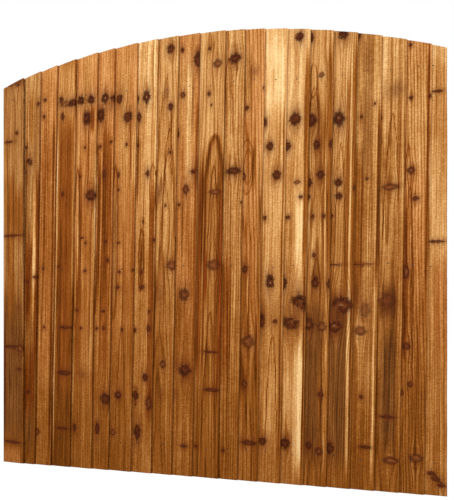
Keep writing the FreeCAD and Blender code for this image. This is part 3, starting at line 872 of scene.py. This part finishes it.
def guessed_heart(random, width):
    """A heart off to one side, for timber whose grain the photograph leaves open."""
    side = random.choice([-1.0, 1.0])
    aside = width / 2 / MM + side * random.uniform(70, 160)
    top = aside + random.uniform(-15, 15)
    behind = random.uniform(20, 70, 2)
    return aside, top, *behind, random.uniform(5, 9), random.uniform(0.7, 1.2)


def timber_fields(across, depth, along, width, seed, knots, heart=None):
    """Grain, ring and knot fields of one length of timber, from where each point lies in it."""
    random = np.random.default_rng(seed)
    nearest, kind, halo, shift = knot_fields(across, along, knots)
    bent = across - shift
    for index, (sway, length) in enumerate(GRAIN_SWAYS):
        bent = bent + sway * wander(along, length, seed + index)
    *places, contrast = heart or guessed_heart(random, width)
    foot_across, top_across, behind_foot, behind_top, ring_width = (value * MM for value in places)
    part = along / CROWN
    aside = foot_across + (top_across - foot_across) * part
    behind = behind_foot + (behind_top - behind_foot) * part
    behind = behind + HEART_SWAY * wander(along, HEART_SWAY_LENGTH, seed + 2)
    offset = random.uniform(0, 40, 3)
    return {
        "grain": np.column_stack([bent, depth, along]) + offset,
        "rings": np.hypot(bent - aside, depth + behind) / ring_width,
        "contrast": np.full(len(across), contrast),
        "knot": nearest,
        "knot_kind": kind,
        "halo": halo,
    }


def ground_tone(number):
    for tone, numbers in GROUND_TONES.items():
        if number in numbers:
            return tone
    raise ValueError(f"board {number} has no ground tone")


def ground_stain(tone, paleness_change, count):
    """Paleness, redness and greyness of the ground: where it darkens towards the foot it also loses its red and
    grey.
    """
    stain = np.tile(TONES[tone], (count, 1))
    stain[:, 0] += paleness_change
    stain[:, 1:] *= np.reshape(np.clip(1 + paleness_change / -PALENESS_CHANGES[0], 0, 1), (-1, 1))
    return stain


def lay_strips(stain, across, along, strips, seed):
    """Lays a board's strips over its ground, each over the ones before it."""
    for index, (tone, left, right, low, high) in enumerate(strips):
        inside = across - STRIP_DRIFT * wander(along, STRIP_DRIFT_LENGTH, seed + 11 * index)
        cover = fade(left - STRIP_BLUR, left + STRIP_BLUR, inside)
        cover = cover * fade(right + STRIP_BLUR, right - STRIP_BLUR, inside)
        reach = min(LONGEST_RUN_OUT, (high - low) / 3)
        ragged = along + min(RAGGEDNESS, reach / 5) * wander(across, RAG_WIDTH, seed + 5 * index)
        ends = fade(low - END_LEAD, low + reach, ragged) * fade(high + END_LEAD, high - reach, ragged)
        stain += (cover * ends)[:, None] * (np.array(TONES[tone]) - stain)
        weak = 0.5 + 0.5 * wander(along, LINE_LENGTH, seed + 7 * index)
        for side, share in ((left, weak), (right, 1 - weak)):
            line = np.exp(-((inside - side) / LINE_WIDTH) ** 2)
            stain[:, 0] -= LINE_DARKNESS * share * ends * line


def lay_arches(stain, across, along, arches, seed):
    """Draws a board's arches of dark grain, whose legs open with a square root below the tip."""
    for centre, tip, half_width, low, thickness, closed in arches:
        down = (tip - along) / (tip - low)
        part = np.clip(down, 0, 1)
        half = half_width * (2 * np.sqrt(part * (1 - part)) if closed else np.sqrt(part))
        leg = across - centre - LEG_WAVER * wander(along, LEG_WAVER_LENGTH, seed + 3)
        line = np.exp(-((np.abs(leg) - half) / thickness) ** 2) * fade(-0.03, 0.01, down)
        line = line * (fade(1.03, 0.99, down) if closed else fade(1.6, 0.9, down))
        stain += ARCH_STRENGTH * line[:, None] * (np.array(TONES["umber"]) - stain)


def knot_relief(ratio, kind):
    """How far a knot stands proud of the face around it, with a sunken ring where dead bark was."""
    crown = KNOT_CROWN * np.exp(-1.3 * ratio ** 2)
    ring = BARK_DEPTH * kind[:, 0] * np.exp(-((ratio - BARK_RIM) / BARK_WIDTH) ** 2)
    return (crown - ring) * kind[:, 1]


def dress_board(mesh, board, knots, strips, arches):
    """Gives a board its grain, ring, knot and stain fields, and raises its knots."""
    points = points_of(mesh)
    x, y, z = points.T
    across = board.across(x, z)
    depth = y - board.front(across)
    seed = 100 * board.number
    fields = timber_fields(across, depth, z, board.width, seed, knots, HEARTS.get(board.number))
    paleness_change = np.interp(z, PALENESS_HEIGHTS, PALENESS_CHANGES)
    stain = ground_stain(ground_tone(board.number), paleness_change, len(points))
    lay_strips(stain, across, z, strips, seed)
    lay_arches(stain, across, z, arches, seed)
    middle = board.thickness(np.clip(across, 0, board.width)) / 2
    outward = np.where(depth < middle, -1.0, 1.0)
    points[:, 1] += outward * knot_relief(fields["knot"][:, 2], fields["knot_kind"])
    mesh.vertices.foreach_set("co", points.astype(np.float32).ravel())
    mesh.update()
    add_fields(mesh, {**fields, "stain": stain})


# A rail or batten: points along it, across it and through it, then how many knots it has, their half width
# in millimetres, how tall they are for their width, and their kinds.
FRAME_LONG, FRAME_FINE, FRAME_DEEP = 230, 14, 12
FRAME_KNOTS = 7
FRAME_KNOT_HALVES = (5, 14)
FRAME_KNOT_SHAPES = (0.8, 1.3)
FRAME_KNOT_KINDS = ["dead", "ringed", "sound"]


def dress_frame_length(mesh, low, extent, number):
    """Gives a rail or batten its fields, with knots where chance puts them."""
    inside = (points_of(mesh) - np.array(low)).T
    across, depth, along = inside if extent.z > extent.x else inside[::-1]
    seed = 5000 + 100 * number
    random = np.random.default_rng(seed)
    width = min(extent.x, extent.z)
    places = np.sort(random.uniform(0, max(extent), FRAME_KNOTS))
    halves = random.uniform(*FRAME_KNOT_HALVES, FRAME_KNOTS) * MM
    knots = [
        (random.uniform(0, width), place, half, half * random.uniform(*FRAME_KNOT_SHAPES),
         KNOT_KINDS[random.choice(FRAME_KNOT_KINDS)])
        for place, half in zip(places, halves)
    ]
    fields = timber_fields(across, depth, along, width, seed, knots)
    tone = FRAME_TONES[number % len(FRAME_TONES)]
    add_fields(mesh, {**fields, "stain": ground_stain(tone, 0.0, len(across))})


# Materials.

# A noise of scale 1 has spots about half a metre wide, so its scale for a spot of so many millimetres is
# this length over that size.
HALF_A_METRE = 500

# Patterns in the timber: a spot's width across, depth and length in millimetres, then the noise's detail
# and roughness.
PATTERNS = {
    # Streaks in the stain, straight up the board.
    "broad": ((13, 25, 550), 2.0, 0.5),
    "middling": ((5, 12.5, 312.5), 2.0, 0.5),
    "narrow": ((2, 5.5, 125), 2.0, 0.6),
    # Clouds where the stain soaked in more or less.
    "cloud": ((31, 50, 70), 3.0, 0.6),
    # Fibres are finer than the photograph shows, so they are drawn half a millimetre wide.
    "fibre": ((0.55, 1, 10), 3.0, 0.7),
    # The band saw leaves short fine ridges across the board, about 4 mm apart.
    "marks": ((5.5, 12.5, 2), 2.0, 0.6),
    # Veins follow the middle value of theirs.
    "vein": ((9, 25, 900), 1.0, 0.4),
}
RUST_SPOT = 1.2

# How far each pattern, late wood and veins move the paleness, and the small lift that centres it.
PATTERN_STRENGTHS = {
    "broad": 0.16, "middling": 0.41, "narrow": 0.42, "cloud": 0.24, "fibre": 0.36, "marks": 0.36}
LATE_DARKNESS, LATE_MEAN = 0.17, 0.22
VEIN_DARKNESS = 0.20
LIFT = 0.008

# How far the streaks bend the rings, in ring widths.
RING_WAVER = 1.1

# Fully greyed timber keeps this share of its colour, and its hue turns a little from orange to olive: 0.5
# is no turn.
GREYED_COLOUR = 0.87
GREYED_HUE = 0.515

# Patterns that tear a knot, spokes from its middle and lumps all over: noise scale, detail and roughness.
KNOT_SPOKES = (5.0, 2.0, 0.7)
KNOT_LUMPS = (1.7, 3.0, 0.6)
KNOT_RINGS = 15.0

# A Mix node gives its sockets for numbers, vectors and colours the same names, so those for colours are
# picked by place: how much of the second colour, the two colours, and the result.
SHARE, UNDER, OVER, MIXED = 0, 6, 7, 2


def new_material(name):
    material = bpy.data.materials.new(name)
    material.use_nodes = True
    material.node_tree.nodes.clear()
    return material, material.node_tree


def set_stops(ramp, stops):
    """Gives a colour ramp its positions and colours or grey values, and returns what it puts out."""
    elements = ramp.color_ramp.elements
    while len(elements) < len(stops):
        elements.new(0.5)
    for element, (position, colour) in zip(elements, stops):
        element.position = position
        element.color = (*colour, 1.0) if isinstance(colour, tuple) else (colour, colour, colour, 1.0)
    return ramp.outputs[0]


def stretched_patterns(tree, grain):
    """The timber's patterns by name, each stretched along the grain."""
    found = {}
    for name, (spot, detail, roughness) in PATTERNS.items():
        waves = tuple(HALF_A_METRE / size for size in spot)
        place = add_node(tree, "ShaderNodeVectorMath", [grain, waves], operation="MULTIPLY").outputs[0]
        found[name] = add_node(tree, "ShaderNodeTexNoise", {
            "Vector": place, "Scale": 1.0, "Detail": detail, "Roughness": roughness}).outputs[0]
    return found


def late_wood(tree, read, pattern):
    """Late wood, about its mean: a dark line that ends each year's ring and fades into the next."""
    waver = add_node(
        tree, "ShaderNodeMath", [pattern["middling"], RING_WAVER, read["rings"]["Fac"]],
        operation="MULTIPLY_ADD").outputs[0]
    year = add_node(tree, "ShaderNodeMath", [waver], operation="FRACT").outputs[0]
    late = set_stops(
        add_node(tree, "ShaderNodeValToRGB", [year]),
        [(0.0, 0.80), (0.08, 0.15), (0.45, 0.0), (0.72, 0.25), (0.93, 1.0)])
    return add_node(tree, "ShaderNodeMath", [late, LATE_MEAN], operation="SUBTRACT").outputs[0]


def veins(tree, pattern):
    """Long thin dark lines, weaker where the broad streaks are dark."""
    vein = set_stops(
        add_node(tree, "ShaderNodeValToRGB", [pattern["vein"]]),
        [(0.478, 0.0), (0.497, 1.0), (0.503, 1.0), (0.522, 0.0)])
    weak = add_node(
        tree, "ShaderNodeMapRange",
        {"Value": pattern["broad"], "From Min": 0.35, "From Max": 0.65}).outputs[0]
    return add_node(tree, "ShaderNodeMath", [vein, weak], operation="MULTIPLY").outputs[0]


def stained_wood(tree, read, pattern, late):
    """Colour of clear timber: its paleness picks the stain, then it is reddened and greyed."""
    c = colours()
    stain = add_node(tree, "ShaderNodeSeparateXYZ", [read["stain"]["Vector"]]).outputs
    pale = stain[0]
    for name, strength in PATTERN_STRENGTHS.items():
        centred = add_node(tree, "ShaderNodeMath", [pattern[name], 0.5], operation="SUBTRACT").outputs[0]
        pale = add_node(
            tree, "ShaderNodeMath", [centred, strength, pale], operation="MULTIPLY_ADD").outputs[0]
    plain = add_node(
        tree, "ShaderNodeMath", [read["contrast"]["Fac"], -LATE_DARKNESS], operation="MULTIPLY").outputs[0]
    pale = add_node(tree, "ShaderNodeMath", [late, plain, pale], operation="MULTIPLY_ADD").outputs[0]
    pale = add_node(
        tree, "ShaderNodeMath", [veins(tree, pattern), -VEIN_DARKNESS, pale],
        operation="MULTIPLY_ADD").outputs[0]
    pale = add_node(tree, "ShaderNodeMath", [pale, LIFT], operation="ADD").outputs[0]
    wood = set_stops(add_node(tree, "ShaderNodeValToRGB", [pale]), [
        (0.05, tuple(c.umber)), (0.28, tuple(c.russet)), (0.50, tuple(c.tan)), (0.66, tuple(c.golden)),
        (0.82, tuple(c.honey)), (0.96, tuple(c.cream))])
    wood = add_node(
        tree, "ShaderNodeMix", {SHARE: stain[1], UNDER: wood, OVER: (*c.red_tint, 1)},
        data_type="RGBA", blend_type="MULTIPLY").outputs[MIXED]
    vivid = add_node(
        tree, "ShaderNodeMapRange",
        {"Value": stain[2], "To Min": 1.0, "To Max": GREYED_COLOUR}).outputs[0]
    hue = add_node(
        tree, "ShaderNodeMapRange", {"Value": stain[2], "To Min": 0.5, "To Max": GREYED_HUE}).outputs[0]
    return add_node(
        tree, "ShaderNodeHueSaturation", {"Hue": hue, "Saturation": vivid, "Color": wood}).outputs[0]


def knot_shape(tree, read):
    """The nearest knot in its own coordinates, 0 at its middle and 1 at its rim, torn by two patterns."""
    place = add_node(tree, "ShaderNodeSeparateXYZ", [read["knot"]["Vector"]]).outputs
    flat = add_node(tree, "ShaderNodeCombineXYZ", [place[0], place[1], 0.0]).outputs[0]
    tall = add_node(tree, "ShaderNodeMath", [place[1]], operation="ABSOLUTE").outputs[0]
    lean = add_node(tree, "ShaderNodeMath", [tall, 0.16, 1.0], operation="MULTIPLY_ADD").outputs[0]
    pointed = add_node(tree, "ShaderNodeCombineXYZ", [
        add_node(tree, "ShaderNodeMath", [place[0], lean], operation="MULTIPLY").outputs[0],
        add_node(tree, "ShaderNodeMath", [place[1], 0.93], operation="MULTIPLY").outputs[0]]).outputs[0]
    whole = add_node(tree, "ShaderNodeVectorMath", [pointed], operation="LENGTH").outputs["Value"]
    outward = add_node(tree, "ShaderNodeVectorMath", [flat], operation="NORMALIZE").outputs[0]
    tears = []
    for start, (scale, detail, roughness) in ((outward, KNOT_SPOKES), (flat, KNOT_LUMPS)):
        moved = add_node(
            tree, "ShaderNodeVectorMath", [start, read["grain"]["Vector"]], operation="ADD").outputs[0]
        noise = add_node(tree, "ShaderNodeTexNoise", {
            "Vector": moved, "Scale": scale, "Detail": detail, "Roughness": roughness}).outputs[0]
        tears.append(add_node(tree, "ShaderNodeMath", [noise, 0.5], operation="SUBTRACT").outputs[0])
    spokes, lumps = tears
    lumpy = add_node(tree, "ShaderNodeMath", [lumps, 1.5, whole], operation="MULTIPLY_ADD").outputs[0]
    torn = add_node(tree, "ShaderNodeMath", [spokes, 0.8, lumpy], operation="MULTIPLY_ADD").outputs[0]
    kind = add_node(tree, "ShaderNodeSeparateXYZ", [read["knot_kind"]["Vector"]]).outputs
    return {
        "whole": whole, "lumpy": lumpy, "torn": torn, "spokes": spokes, "lumps": lumps,
        "distance": place[2], "dark": kind[0], "strong": kind[1], "resinous": kind[2]}


def soaked_wood(tree, read, pattern, knot, wood):
    """Round a knot the stain goes in deeper, in streaks, and dark hairs run out past its rim."""
    streaks = add_node(
        tree, "ShaderNodeMapRange",
        {"Value": pattern["narrow"], "From Min": 0.25, "From Max": 0.60}).outputs[0]
    soaked = add_node(
        tree, "ShaderNodeMath", [read["halo"]["Fac"], streaks], operation="MULTIPLY",
        use_clamp=True).outputs[0]
    hairs = add_node(
        tree, "ShaderNodeMapRange",
        {"Value": knot["spokes"], "From Min": 0.0, "From Max": -0.15}).outputs[0]
    outside = add_node(
        tree, "ShaderNodeMapRange", {"Value": knot["whole"], "From Min": 2.1, "From Max": 1.0}).outputs[0]
    for share in (outside, knot["dark"]):
        hairs = add_node(tree, "ShaderNodeMath", [hairs, share], operation="MULTIPLY").outputs[0]
    soaked = add_node(
        tree, "ShaderNodeMath", [hairs, 0.45, soaked], operation="MULTIPLY_ADD", use_clamp=True).outputs[0]
    return add_node(
        tree, "ShaderNodeMix", {SHARE: soaked, UNDER: wood, OVER: (*colours().knot, 1)},
        data_type="RGBA").outputs[MIXED]


def knot_colour(tree, knot):
    """A knot has rings of its own, darker to the bark, and a dead knot is dark nearly all through."""
    c = colours()
    turns = add_node(tree, "ShaderNodeMath", [knot["lumpy"], KNOT_RINGS], operation="MULTIPLY").outputs[0]
    turns = add_node(tree, "ShaderNodeMath", [turns], operation="SINE").outputs[0]
    deep = set_stops(
        add_node(tree, "ShaderNodeValToRGB", [knot["torn"]]),
        [(0.0, 0.75), (0.18, 0.30), (0.55, 0.40), (0.80, 0.85), (1.0, 1.0)])
    share = add_node(
        tree, "ShaderNodeMapRange", {"Value": knot["dark"], "To Min": 0.62, "To Max": 0.9}).outputs[0]
    deep = add_node(tree, "ShaderNodeMath", [deep, share], operation="MULTIPLY").outputs[0]
    for part, strength in ((knot["dark"], 0.26), (turns, 0.17), (knot["lumps"], 1.8)):
        deep = add_node(
            tree, "ShaderNodeMath", [part, strength, deep], operation="MULTIPLY_ADD").outputs[0]
    deep = add_node(
        tree, "ShaderNodeMath", [knot["spokes"], deep], operation="ADD", use_clamp=True).outputs[0]
    colour = add_node(
        tree, "ShaderNodeMix", {SHARE: deep, UNDER: (*c.knot, 1), OVER: (*c.dead_knot, 1)},
        data_type="RGBA").outputs[MIXED]

    # A sound knot is paler inside its rim, and resin dries in the very middle.
    sound = add_node(tree, "ShaderNodeMath", [1.0, knot["dark"]], operation="SUBTRACT").outputs[0]
    speck = add_node(
        tree, "ShaderNodeMath", [knot["lumps"], 1.6, knot["whole"]], operation="MULTIPLY_ADD").outputs[0]
    for place, stops, strength, tint in (
            (knot["torn"], [(0.30, 0.85), (0.72, 0.0)], sound, c.knot_body),
            (speck, [(0.01, 0.6), (0.11, 0.0)], knot["resinous"], c.resin)):
        share = set_stops(add_node(tree, "ShaderNodeValToRGB", [place]), stops)
        share = add_node(tree, "ShaderNodeMath", [share, strength], operation="MULTIPLY").outputs[0]
        colour = add_node(
            tree, "ShaderNodeMix", {SHARE: share, UNDER: colour, OVER: (*tint, 1)},
            data_type="RGBA").outputs[MIXED]
    return colour


def knotted_wood(tree, knot, wood):
    """Lays knots over the wood: past its rim a knot fades out in spikes, and far from all there is none."""
    half = add_node(tree, "ShaderNodeMath", [knot["torn"], 0.5], operation="MULTIPLY").outputs[0]
    inside = set_stops(add_node(tree, "ShaderNodeValToRGB", [half]), [(0.38, 1.0), (0.68, 0.0)])
    near = add_node(
        tree, "ShaderNodeMapRange",
        {"Value": knot["distance"], "From Min": 1.6, "From Max": 1.35}).outputs[0]
    for share in (near, knot["strong"]):
        inside = add_node(tree, "ShaderNodeMath", [inside, share], operation="MULTIPLY").outputs[0]
    return add_node(
        tree, "ShaderNodeMix", {SHARE: inside, UNDER: wood, OVER: knot_colour(tree, knot)},
        data_type="RGBA").outputs[MIXED]


def thirsty_ends(tree, wood):
    """End grain drinks the most stain."""
    normal = add_node(tree, "ShaderNodeNewGeometry").outputs["True Normal"]
    upright = add_node(tree, "ShaderNodeSeparateXYZ", [normal]).outputs[2]
    upright = add_node(tree, "ShaderNodeMath", [upright], operation="ABSOLUTE").outputs[0]
    cut_end = add_node(tree, "ShaderNodeMath", [upright, 0.75], operation="GREATER_THAN").outputs[0]
    share = add_node(tree, "ShaderNodeMath", [cut_end, 0.6], operation="MULTIPLY").outputs[0]
    return add_node(
        tree, "ShaderNodeMix", {SHARE: share, UNDER: wood, OVER: (*colours().russet, 1)},
        data_type="RGBA", blend_type="MULTIPLY").outputs[MIXED]


def treated_timber(name):
    """Softwood sawn rough and pressure-treated brown: open matt grain, stain taken unevenly."""
    material, tree = new_material(name)
    read = {
        field: add_node(tree, "ShaderNodeAttribute", attribute_name=field).outputs
        for field in ("grain", "rings", "contrast", "knot", "knot_kind", "halo", "stain")}
    pattern = stretched_patterns(tree, read["grain"]["Vector"])
    late = late_wood(tree, read, pattern)
    knot = knot_shape(tree, read)
    wood = stained_wood(tree, read, pattern, late)
    wood = soaked_wood(tree, read, pattern, knot, wood)
    wood = knotted_wood(tree, knot, wood)
    wood = thirsty_ends(tree, wood)

    # Ridges, lifted fibres and hard late wood catch the light.
    relief = add_node(
        tree, "ShaderNodeMath", [pattern["marks"], 0.6, pattern["fibre"]],
        operation="MULTIPLY_ADD").outputs[0]
    relief = add_node(tree, "ShaderNodeMath", [late, 0.35, relief], operation="MULTIPLY_ADD").outputs[0]
    bump = add_node(
        tree, "ShaderNodeBump", {"Strength": 0.55, "Distance": 0.6 * MM, "Height": relief}).outputs[0]
    roughness = add_node(
        tree, "ShaderNodeMapRange",
        {"Value": pattern["fibre"], "To Min": 0.62, "To Max": 0.82}).outputs[0]
    shader = add_node(tree, "ShaderNodeBsdfPrincipled", {
        "Base Color": wood, "Roughness": roughness, "Specular IOR Level": 0.05, "IOR": 1.5, "Normal": bump})
    add_node(tree, "ShaderNodeOutputMaterial", [shader.outputs[0]])
    return material


def galvanised_steel():
    """Galvanised wire nail: dull zinc, gone to rust where the hammer broke the coat."""
    material, tree = new_material("galvanised_nail_steel")
    place = add_node(tree, "ShaderNodeTexCoord").outputs["Object"]
    spots = add_node(tree, "ShaderNodeTexNoise", {
        "Vector": place, "Scale": HALF_A_METRE / RUST_SPOT, "Detail": 3.0}).outputs[0]
    rusty = set_stops(add_node(tree, "ShaderNodeValToRGB", [spots]), [(0.40, 0.0), (0.56, 1.0)])
    colour = add_node(
        tree, "ShaderNodeMix",
        {SHARE: rusty, UNDER: (*colours().zinc, 1), OVER: (*colours().rust, 1)},
        data_type="RGBA").outputs[MIXED]
    rough = add_node(tree, "ShaderNodeMapRange", {"Value": rusty, "To Min": 0.42, "To Max": 0.85}).outputs[0]
    metal = add_node(tree, "ShaderNodeMapRange", {"Value": rusty, "To Min": 0.5, "To Max": 0.0}).outputs[0]
    bump = add_node(
        tree, "ShaderNodeBump", {"Strength": 0.4, "Distance": 0.2 * MM, "Height": spots}).outputs[0]
    shader = add_node(tree, "ShaderNodeBsdfPrincipled", {
        "Base Color": colour, "Roughness": rough, "Metallic": metal, "Normal": bump})
    add_node(tree, "ShaderNodeOutputMaterial", [shader.outputs[0]])
    return material


# Operators and the studio.

def lay(piece, material_slot, *nodes):
    """Puts a finished piece on the frame in the place of the CAD nodes that it stands for."""
    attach(piece, BODY)
    if nodes:
        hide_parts(*nodes)


class FENCE_OT_lay_boards(bpy.types.Operator):
    """Saw and lay the featheredge boards, each lapping the next one's thin edge"""

    bl_idname = "fence.lay_boards"
    bl_label = "Lay the featheredge boards"

    def execute(self, context):
        size = sizes()
        boards = [Board(name) for name in BOARD_NAMES]
        knots, strips, arches = knots_of_boards(boards), strips_of_boards(boards), arches_of_boards(boards)
        material = treated_timber("brown_treated_sawn_softwood")
        tree = board_tree()
        for board in boards:
            piece = grow(f"{board.name}_sawn", tree, {
                "Columns": size.columns, "Layers": size.layers, "Rows": size.rows, "Width": board.width,
                "Butt": size.butt, "Feather": board.feather, "Foot": board.foot, "Slope": board.slope,
                "Plane": FRAME_FRONT, "Rise": board.rise, "Crown": CROWN, "Middle": MIDDLE,
                "Radius": RADIUS, "Arris": size.arris, "Waver": size.waver, "Tear": size.tear,
                "Lift": size.lift, "Chip": size.chip, "Bevel": size.bevel, "Seed": 7.3 * board.number,
                "Material": material})
            dress_board(piece.data, board, knots[board.name], strips[board.name], arches[board.name])
            finish_shading(piece.data, 40)
            lay(piece, "treated_board", board.name)
        return {"FINISHED"}


class FENCE_OT_saw_back_frame(bpy.types.Operator):
    """Saw the three rails and two side battens of the back frame"""

    bl_idname = "fence.saw_back_frame"
    bl_label = "Saw the back frame"

    def execute(self, context):
        size = sizes()
        material = treated_timber("brown_treated_sawn_batten")
        tree = sawn_length_tree()
        for number, name in enumerate(BATTEN_NAMES + RAIL_NAMES, start=1):
            low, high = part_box(name)
            extent = high - low
            columns, rows = FRAME_LONG, FRAME_FINE
            if extent.z > extent.x:
                columns, rows = rows, columns
            piece = grow(f"{name}_sawn", tree, {
                "Columns": columns, "Layers": FRAME_DEEP, "Rows": rows, "Lowest": low, "Extent": extent,
                "Arris": size.frame_arris, "Tear": size.frame_tear, "Seed": 3.1 * number,
                "Material": material})
            dress_frame_length(piece.data, low, extent, number)
            finish_shading(piece.data, 50)
            lay(piece, "treated_batten", name)
        return {"FINISHED"}


# Where nails go in, in millimetres. On a board, one nail strays this far up or down, and in from its inset.
# On a batten, two nails sit below and above the middle of the rail, and each strays up or down and sideways.
NAIL_DROP = (-7, 7)
NAIL_STRAY = (-8, 14)
PAIR_DROPS = (-9, 10)
PAIR_SLIP = (-2, 2)
PAIR_STRAY = (-6, 6)
NAIL_PROUD = 0.1 * MM


def nail_seats():
    """Where each nail head sits and which way it faces."""
    random = np.random.default_rng(41)
    boards = [Board(name) for name in BOARD_NAMES]
    seats, facings = [], []
    for rail in RAIL_NAMES:
        low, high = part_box(rail)
        middle = (low.z + high.z) / 2
        for board in boards:
            z = middle + random.uniform(*NAIL_DROP) * MM
            across = board.width - sizes().nail_inset - random.uniform(*NAIL_STRAY) * MM
            seats.append((board.x_at(across, z), board.front(across) - NAIL_PROUD, z))
            facings.append((0.0, -1.0, 0.0))
        for side, x in ((-1.0, CAD_LOW.x), (1.0, CAD_HIGH.x)):
            for drop in PAIR_DROPS:
                z = middle + (drop + random.uniform(*PAIR_SLIP)) * MM
                seats.append((x, random.uniform(*PAIR_STRAY) * MM, z))
                facings.append((side, 0.0, 0.0))
    return seats, facings


class FENCE_OT_drive_nails(bpy.types.Operator):
    """Drive one nail through each board into each rail, and two through each batten into a rail's end"""

    bl_idname = "fence.drive_nails"
    bl_label = "Drive the nails"

    def execute(self, context):
        size = sizes()
        seats, facings = nail_seats()
        mesh = bpy.data.meshes.new("nail_seats")
        mesh.from_pydata(seats, [], [])
        add_fields(mesh, {"facing": facings})
        piece = grow("nail_heads", nail_tree(), {
            "Diameter": size.nail_head, "Rim": size.nail_rim, "Tilt": size.nail_tilt, "Seed": 3,
            "Material": galvanised_steel()}, mesh)
        finish_shading(piece.data, 60)
        lay(piece, None)
        return {"FINISHED"}


# The camera stands where the photograph's did, and looks level: its place, its aim, its focal length in
# millimetres and the rise of its frame.
CAMERA_PLACE = Vector((1.381, -1.903, 0.760))
CAMERA_AIM = Vector((-0.195, 0.981, 0.0))
CAMERA_LENS = 34.47
CAMERA_RISE = 0.0796

# Lamps: name, place, diameter and power. All aim at the middle of the panel.
LAMPS = (
    ("key_lamp", (-0.9, -4.6, 3.3), 0.7, 150),
    ("fill_lamp", (2.4, -4.8, 1.6), 2.4, 80),
    ("back_lamp", (2.6, 4.0, 3.2), 1.2, 130),
)
LAMP_TARGET = Vector((0.9, 0, 0.9))

# The world lights at one strength and is seen at another, where 1 is white. The floor is mostly seen as a
# glow, and the rest of it takes the shadow.
WORLD_LIGHT, WORLD_SEEN = 0.40, 1.0
FLOOR_REACH = 30.0
FLOOR_GLOW_SHARE = 0.88
FLOOR_GLOW = 1.07
WHITE = (1, 1, 1, 1)


def seen_directly(tree):
    """1 for what the camera, gloss or glass sees of the studio, 0 for the light that it gives."""
    ray = add_node(tree, "ShaderNodeLightPath").outputs
    seen = ray["Is Camera Ray"]
    for other in ("Is Glossy Ray", "Is Transmission Ray"):
        seen = add_node(tree, "ShaderNodeMath", [seen, ray[other]], operation="MAXIMUM").outputs[0]
    return seen


def studio_paper():
    """White studio paper: the camera sees it near white, and an eighth of it still takes the shadow."""
    material, tree = new_material("studio_paper")
    share = add_node(
        tree, "ShaderNodeMath", [seen_directly(tree), FLOOR_GLOW_SHARE], operation="MULTIPLY").outputs[0]
    paper = add_node(tree, "ShaderNodeBsdfDiffuse", {"Color": (*colours().floor, 1), "Roughness": 1.0})
    glow = add_node(tree, "ShaderNodeEmission", {"Color": WHITE, "Strength": FLOOR_GLOW})
    mixed = add_node(tree, "ShaderNodeMixShader", [share, paper.outputs[0], glow.outputs[0]])
    add_node(tree, "ShaderNodeOutputMaterial", [mixed.outputs[0]])
    return material


def studio_world():
    """An even white world."""
    world = bpy.data.worlds.new("studio")
    world.use_nodes = True
    tree = world.node_tree
    tree.nodes.clear()
    strength = add_node(tree, "ShaderNodeMapRange", {
        "Value": seen_directly(tree), "To Min": WORLD_LIGHT, "To Max": WORLD_SEEN}).outputs[0]
    sky = add_node(tree, "ShaderNodeBackground", {"Color": WHITE, "Strength": strength})
    add_node(tree, "ShaderNodeOutputWorld", [sky.outputs[0]])
    return world


def stand(name, data, place, aim):
    """Stands a lamp or camera at a place, looking along aim."""
    thing = bpy.data.objects.new(name, data)
    thing.location = place
    thing.rotation_euler = aim.to_track_quat("-Z", "Y").to_euler()
    bpy.context.scene.collection.objects.link(thing)
    return thing


class FENCE_OT_set_stage(bpy.types.Operator):
    """Set the pale floor, the soft studio light and the camera"""

    bl_idname = "fence.set_stage"
    bl_label = "Set the stage"

    def execute(self, context):
        scene = context.scene
        scene.view_settings.view_transform = "Standard"
        scene.world = studio_world()

        mesh = bpy.data.meshes.new("studio_floor")
        corners = [(x * FLOOR_REACH, y * FLOOR_REACH, 0) for x, y in ((-1, -1), (1, -1), (1, 1), (-1, 1))]
        mesh.from_pydata(corners, [], [(0, 1, 2, 3)])
        mesh.materials.append(studio_paper())
        floor = bpy.data.objects.new("studio_floor", mesh)
        scene.collection.objects.link(floor)

        for name, place, diameter, power in LAMPS:
            lamp = bpy.data.lights.new(name, "AREA")
            lamp.shape = "DISK"
            lamp.size = diameter
            lamp.energy = power
            stand(name, lamp, place, LAMP_TARGET - Vector(place))

        camera = bpy.data.cameras.new("photograph_camera")
        camera.lens = CAMERA_LENS
        camera.sensor_width = 36.0
        camera.shift_y = CAMERA_RISE
        camera.clip_end = 100.0
        scene.camera = stand("photograph_camera", camera, CAMERA_PLACE, CAMERA_AIM)
        return {"FINISHED"}


class FENCE_PT_panel(bpy.types.Panel):
    """The steps that dress the fence panel"""

    bl_idname = "FENCE_PT_panel"
    bl_label = "Fence panel"
    bl_space_type = "VIEW_3D"
    bl_region_type = "UI"
    bl_category = "Fence panel"

    def draw(self, context):
        for operator in OPERATORS:
            self.layout.operator(operator.bl_idname)
        for group in (sizes(), colours()):
            column = self.layout.column()
            for name in group.bl_rna.properties.keys():
                if name not in ("rna_type", "name"):
                    column.prop(group, name)


OPERATORS = (FENCE_OT_set_stage, FENCE_OT_lay_boards, FENCE_OT_saw_back_frame, FENCE_OT_drive_nails)
CLASSES = (FencePanelSizes, FencePanelColours, *OPERATORS, FENCE_PT_panel)


def register():
    for item in CLASSES:
        bpy.utils.register_class(item)
    bpy.types.Scene.fence_panel_sizes = PointerProperty(type=FencePanelSizes)
    bpy.types.Scene.fence_panel_colours = PointerProperty(type=FencePanelColours)


def unregister():
    del bpy.types.Scene.fence_panel_colours
    del bpy.types.Scene.fence_panel_sizes
    for item in reversed(CLASSES):
        bpy.utils.unregister_class(item)


def main():
    register()
    bpy.ops.fence.set_stage()
    bpy.ops.fence.lay_boards()
    bpy.ops.fence.saw_back_frame()
    bpy.ops.fence.drive_nails()


if __name__ == "__main__":
    main()
